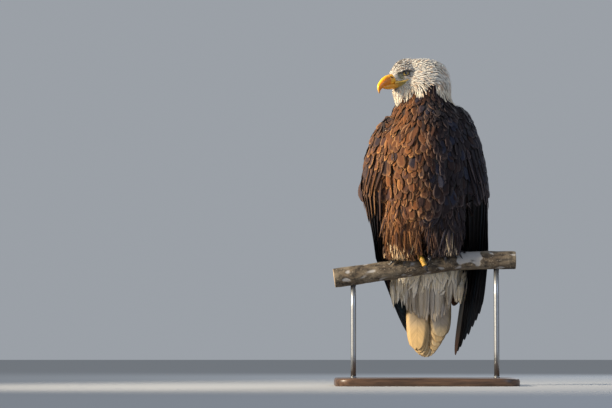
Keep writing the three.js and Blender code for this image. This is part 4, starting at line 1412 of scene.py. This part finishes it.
def gape():
    """The soft yellow edges of the mouth, two lips on each side that run back over the skin."""
    flesh = grained("gape", 0.42, 700.0, 2.0, (0.66, 0.36, 0.05), (0.88, 0.60, 0.14))
    steps = np.linspace(0, 1, 40)
    lips = Lofts()
    for s in (1, -1):
        line = profile([
            [0, 36, s * 13.4, -22.6], [0.25, 26, s * 16.2, -21.4], [0.5, 14, s * 19.5, -19.8],
            [0.75, 4, s * 23.0, -17.6], [1, -4, s * 26.0, -15.0],
        ])
        on_skin = []
        for k, p in enumerate(from_head(line(steps))):
            near, normal, _, _ = skin_tree.find_nearest(Vector(p))
            on_skin.append(p + (np.array(near) + np.array(normal) * 0.9 - p) * smooth(2, 10, k))
        laid = profile(np.column_stack([steps, on_skin]))
        for lift in (1.05, -1.05):
            lips.add(tube(
                lambda v: laid(v) + np.array([0, 0, lift]) * (1 - v) ** 0.5,
                lambda v: 1.7 * (1 - 0.4 * v) * (1 - v ** 6) ** 0.5 + 0.12,
                44, 12, across=(0, 0, 1),
            ))
    make("gape", *lips.arrays(), flesh, "bill_horn")


def bill():
    horn = bill_material()
    upper_bill(horn)
    lower_bill(horn)
    gape()


# ---------------------------------------------------------------- perch

PERCH_RADIUS = 25.0

# Knots: x, angle round the perch, width, height
KNOTS = ((-46, 118, 7, 2.2), (-40, 196, 6.5, 2.0), (118, 205, 8, 1.6), (-168, 150, 9, 2.0))


def perch_axis(x):
    """The middle of the perch: it rises to its left and levels off there."""
    past = 16 * np.log1p(np.exp((np.asarray(x, float) - 95) / 16))
    return np.stack(np.broadcast_arrays(x, 0.0, 0.142 * (x - past)), -1)


def perch_slope(x):
    a, b = perch_axis(x - 1.0), perch_axis(x + 1.0)
    return np.arctan2(b[..., 2] - a[..., 2], 2.0)


def perch_radius(x):
    return PERCH_RADIUS * (1 - 0.00012 * x)


def on_perch(x, degrees, lift):
    """The point at that height over the bark, at an angle from the back over the top."""
    slope = perch_slope(x)
    out = perch_radius(x) + lift
    turn = np.radians(degrees)
    point = perch_axis(x)
    point[..., 1] += np.cos(turn) * out
    point[..., 2] += np.sin(turn) * out * np.cos(slope)
    point[..., 0] -= np.sin(turn) * out * np.sin(slope)
    return point


def bark_material():
    look = Look("bark", 0.85)
    peel, crease_shade, cut = look.split("Bark")
    place = look.stretched(0.55, 1.0, 1.0)
    mottle = look.noise(85.0, 6.0, 0.68, place)
    blotch = look.noise(24.0, 4.0, 0.6, look.stretched(1.0, 1.0, 1.0))
    color = look.mix((0.016, 0.011, 0.007), (0.150, 0.110, 0.070), look.ramp(mottle, 0.35, 0.68))
    color = look.mix(color, (0.180, 0.145, 0.100), look.ramp(blotch, 0.42, 0.66))
    color = look.mix(color, (0.30, 0.255, 0.195), look.ramp(look.cells(260.0, place), 0.26, 0.12))
    color = look.mix(color, (0.40, 0.39, 0.38), peel)
    # Painted shade in the hollows between the bark's ridges.
    color = look.mix(color, (0.035, 0.026, 0.02), crease_shade)
    rings = look.node("TexWave", Scale=150.0, Distortion=1.5, Detail=2.0).outputs["Fac"]
    color = look.mix(color, look.mix((0.42, 0.29, 0.17), (0.60, 0.45, 0.28), rings), cut)
    return look.finish(color, mottle, 0.5, 0.0012)


def perch(rows=520, columns=150):
    along = np.linspace(-PERCH_HALF, PERCH_HALF, rows)
    gx, around = np.meshgrid(along, circle(columns), indexing="ij")
    gd = np.degrees(around)
    flat = np.stack([gx * 0.45, np.cos(around) * PERCH_RADIUS, np.sin(around) * PERCH_RADIUS], -1)
    flat = flat.reshape(-1, 3)
    coarse, ridges, fine, flakes = (
        ripple(flat * [stretch, 1, 1], size, seed).reshape(gx.shape)
        for stretch, size, seed in ((1, 26, 1), (0.55, 7.5, 2), (1.6, 2.6, 4), (1.2, 13, 6))
    )
    bare_patch = smooth(76, 92, gx) * smooth(152, 138, gx) * smooth(215, 190, gd) * smooth(60, 90, gd)
    peel = smooth(-0.05, 0.22, flakes + 0.9 * bare_patch - 0.35)
    lift = -1.0 + 0.9 * coarse + 0.75 * ridges * (1 - 0.6 * peel) + 0.32 * fine - 0.7 * peel
    node_ring = np.exp(-((gx + 80 + 0.03 * (gd - 180)) / 5.5) ** 2)
    lift += 1.6 * node_ring * (0.6 + 0.4 * np.sin(around * 3))
    for spot, angle, wide, high in KNOTS:
        far = np.hypot(gx - spot, (gd - angle) * 0.44)
        lift += high * np.exp(-(far / wide) ** 2) - 1.1 * high * np.exp(-(far / (wide * 0.36)) ** 2)
    from_end = PERCH_HALF - np.abs(gx)
    end = smooth(3.0, 0.0, from_end)
    lift = lift * (1 - 0.5 * end) - 1.2 * end
    obj = make("branch", *Lofts(on_perch(gx, gd, lift)).arrays(), bark_material(), "bark")
    # Painted shade in the bark's hollows, where the ridges dip.
    crease_shade = smooth(-0.15, -0.75, ridges) * 0.6 * (1 - peel)
    info = np.stack([peel * 0.75, crease_shade, smooth(0.9, 0.0, from_end)], -1)
    vector_attribute(obj, "Bark", np.concatenate([info.reshape(-1, 3), [[0, 0, 1], [0, 0, 1]]]))
    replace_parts(obj, "perch")


# ---------------------------------------------------------------- feet

TOE_RADIUS = 7.6
SHANK_RADIUS = 9.5
HUB_RADIUS = 15.0
CLAW_RADIUS = 5.2


def toe_material():
    look = Look("toe_skin", 0.48)
    pebbles = look.cells(620.0)
    color = look.mix((0.66, 0.36, 0.035), (0.93, 0.60, 0.09), look.noise(240.0, 3.0))
    color = look.mix(color, (0.48, 0.25, 0.03), look.ramp(pebbles, 0.25, 0.6))
    color = look.mix(color, (0.26, 0.13, 0.03), look.split("Scute")[0])
    return look.finish(color, pebbles, 0.35)


def plate_gaps(t, number, sharp):
    """How near each share of a length is to a seam between that many plates."""
    return (np.abs(((t * number) % 1) * 2 - 1) ** sharp)[:, None]


def toe(middle_x, root, tip, start, end, rows=110, columns=40):
    """Rings of one toe with its pads and plates, and the depth of the seams between the plates."""
    def path(t):
        pads = 0.5 * (1 - math.cos(t * 6 * math.pi))
        lift = TOE_RADIUS + 0.6 - 0.3 * pads
        return on_perch(middle_x + root + (tip - root) * t, start + (end - start) * t, lift)

    rings = tube(path, lambda t: TOE_RADIUS * 0.95, rows - 1, columns)
    t = np.linspace(0, 1, rows)
    centre = rings.mean(1, keepdims=True)
    radial = unit(rings - centre)
    facing = (radial * unit(centre - perch_axis(centre[..., 0]))).sum(-1)
    seam = plate_gaps(t, 11, 3) * smooth(-0.1, 0.35, facing)
    pad = 1 - 0.16 * t + 0.075 * np.cos(t * 6 * math.pi)
    scale = (pad * np.where(t > 0.95, 1 - 5 * (t - 0.95), 1))[:, None] * (1 - 0.055 * seam)
    scale = scale * (1 + 0.05 * smooth(0.1, 0.9, facing))
    return centre + radial * (TOE_RADIUS * 0.95) * scale[..., None], seam


def shank(low, high, rows=60, columns=40):
    rings = tube(lambda t: low + (high - low) * t, lambda t: SHANK_RADIUS * (1 + 0.1 * t), rows - 1, columns)
    centre = rings.mean(1, keepdims=True)
    seam = plate_gaps(np.linspace(0, 1, rows), 8, 5) * smooth(0.1, -0.5, unit(rings - centre)[..., 1])
    return centre + (rings - centre) * (1 - 0.05 * seam)[..., None], seam


def talon(middle_x, root, tip, start, end):
    def path(t):
        lift = TOE_RADIUS + 2.6 * math.sin(math.pi * min(t * 1.15, 1)) - 4.5 * t * t
        return on_perch(middle_x + tip + (tip - root) * 0.5 * t, start + (end - start) * t, lift)

    return tube(path, lambda t: CLAW_RADIUS * (1 - 0.93 * t ** 1.35), 44, 24)


def feet():
    toe_look = toe_material()
    claw_look = grained("claw_horn", 0.28, 160.0, 2.0, (0.010, 0.010, 0.012), (0.045, 0.040, 0.040))
    for name, leg in LEGS.items():
        x = leg["x"]
        pieces = [toe(x, root, tip, start, end) for root, tip, start, end, _ in leg["toes"]]
        hub = ball(HUB_RADIUS, 40, 44) * [1.1, 1, 0.72] + on_perch(x, 90, HUB_RADIUS * 0.72 + 0.6)
        pieces.append((hub, np.zeros(hub.shape[:2])))
        pieces.append(shank(on_perch(x, 90, HUB_RADIUS - 4), np.array([x * 1.02, 2.0, 78.0])))
        obj = make(f"leg_{name}", *Lofts(*(rings for rings, _ in pieces)).arrays(), toe_look, "toe_skin")
        seams = np.concatenate([np.append(seam, [0, 0]) for _, seam in pieces])
        vector_attribute(obj, "Scute", np.column_stack([seams * 0.8, seams * 0, seams * 0]))
        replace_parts(obj, f"foot_{name}", f"shank_{name}")
        talons = Lofts(*(talon(x, root, tip, end, claw) for root, tip, _, end, claw in leg["toes"]))
        obj = make(f"talons_{name}", *talons.arrays(), claw_look, "claw_horn")
        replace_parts(obj, *[f"claw_{name}_{k}" for k in (1, 2, 3, 4)])


# ---------------------------------------------------------------- display stand

BASE_SIZE = (470.0, 320.0, 20.0)
BASE_CORNER = 46.0
ROD_X = 186.0
ROD_RADIUS = 7.0

# The rounded upper edge of the board and the collar at the foot of each post: inset or radius, height
BOARD_EDGE = ((1.2, 0.0), (0.0, 1.2), (0.0, 12.5), (0.7, 15.5), (2.4, 18.2), (5.2, 19.7), (8.0, 20.0))
COLLAR = ((8.2, 0.0), (8.2, 2.4), (7.6, 3.2), (6.6, 3.4))


def streaked(name, rough, scale, detail, noise_rough, stretch, dark, light, contrast=None, **inputs):
    """A surface streaked between two colours along one direction."""
    look = Look(name, rough, **inputs)
    grain = look.noise(scale, detail, noise_rough, look.stretched(*stretch))
    return look.finish(look.mix(dark, light, look.ramp(grain, *contrast) if contrast else grain))


def stand():
    wood = streaked("stand_wood", 0.36, 9.0, 6.0, 0.62, (1.0, 9.0, 9.0),
                    (0.045, 0.024, 0.014), (0.155, 0.085, 0.048), contrast=(0.3, 0.7))
    half_x, half_y, height = BASE_SIZE[0] / 2, BASE_SIZE[1] / 2, BASE_SIZE[2]
    outline = []
    for cx, cy, start in ((1, -1, -90), (1, 1, 0), (-1, 1, 90), (-1, -1, 180)):
        for angle in np.radians(np.linspace(start, start + 90, 14)):
            outline.append((cx * (half_x - BASE_CORNER) + BASE_CORNER * math.cos(angle),
                            cy * (half_y - BASE_CORNER) + BASE_CORNER * math.sin(angle)))
    outline = np.array(outline)
    board = Lofts([
        np.column_stack([outline - unit(outline) * inset, np.full(len(outline), z - PERCH_HEIGHT)])
        for inset, z in BOARD_EDGE
    ])
    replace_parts(make("stand_board", *board.arrays(), wood, "stand_wood"), "stand_base")

    steel = streaked("stand_steel", 0.42, 30.0, 3.0, 0.5, (1.0, 1.0, 60.0),
                     (0.24, 0.25, 0.26), (0.42, 0.43, 0.44), Metallic=1.0)
    turn = circle(40)
    for name, s in SIDE.items():
        top = float(perch_axis(np.array(s * ROD_X))[2]) - 20
        low = height - PERCH_HEIGHT - 1
        post = tube(lambda t: np.array([s * ROD_X, 0, low + (top - low) * t]), lambda t: ROD_RADIUS, 4, 40)
        collar = [
            np.column_stack([s * ROD_X + r * np.cos(turn), r * np.sin(turn), np.full(40, low + 1 + h)])
            for r, h in COLLAR
        ]
        obj = make(f"stand_post_{name}", *Lofts(post, collar).arrays(), steel, "stand_steel")
        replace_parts(obj, f"stand_rod_{name}")


# ---------------------------------------------------------------- studio

# Metres, above the floor
BIRD_MIDDLE = (0, 0, 0.55)
VIEW_POINT = (-0.309, -6.0, 0.08)
VIEW_TARGET = (-0.309, 0, 0.472)


def area(name, place, size, power, color, spread=180):
    """A round lamp aimed at the middle of the bird."""
    light = bpy.data.lights.new(name, "AREA")
    light.shape = "DISK"
    light.size, light.energy, light.color = size, power, color
    light.spread = math.radians(spread)
    lamp = bpy.data.objects.new(name, light)
    aim_from(lamp, place, BIRD_MIDDLE)


def aim_from(obj, place, target):
    obj.location = place
    obj.rotation_euler = (Vector(target) - Vector(place)).to_track_quat("-Z", "Y").to_euler()
    bpy.context.scene.collection.objects.link(obj)


def studio():
    floor_look = Look("floor", 1.0, Specular_IOR_Level=0.0).finish((0.50, 0.51, 0.52))
    bpy.ops.mesh.primitive_plane_add(size=60)
    floor = bpy.context.object
    floor.name = "floor"
    floor.data.materials.append(floor_look)

    area("key", (-3.1, -1.15, 1.45), 0.6, 21.6, (1.0, 0.87, 0.68), 50)
    area("fill", (2.4, -3.0, 1.6), 2.2, 34, (0.62, 0.74, 1.0))
    area("back", (1.2, 2.6, 2.1), 1.6, 30, (0.84, 0.91, 1.0))
    world = bpy.data.worlds.new("studio")
    world.use_nodes = True
    world.node_tree.nodes["Background"].inputs["Color"].default_value = (0.78, 0.84, 0.92, 1)
    world.node_tree.nodes["Background"].inputs["Strength"].default_value = 0.42
    bpy.context.scene.world = world
    bpy.context.scene.view_settings.view_transform = "Standard"

    lens = bpy.data.cameras.new("camera")
    lens.sensor_width = 36
    lens.lens = 135.7
    lens.clip_start = 0.05
    camera = bpy.data.objects.new("camera", lens)
    aim_from(camera, VIEW_POINT, VIEW_TARGET)
    bpy.context.scene.camera = camera


dress_skin()
cover_body()
cover_head()
for wing_name in ("left", "right"):
    covert_rows(wing_name)
    flight_feathers(wing_name)
tail_feathers()
tail_coverts()
belly_fringe()
eyes()
bill()
feet()
perch()
stand()
studio()
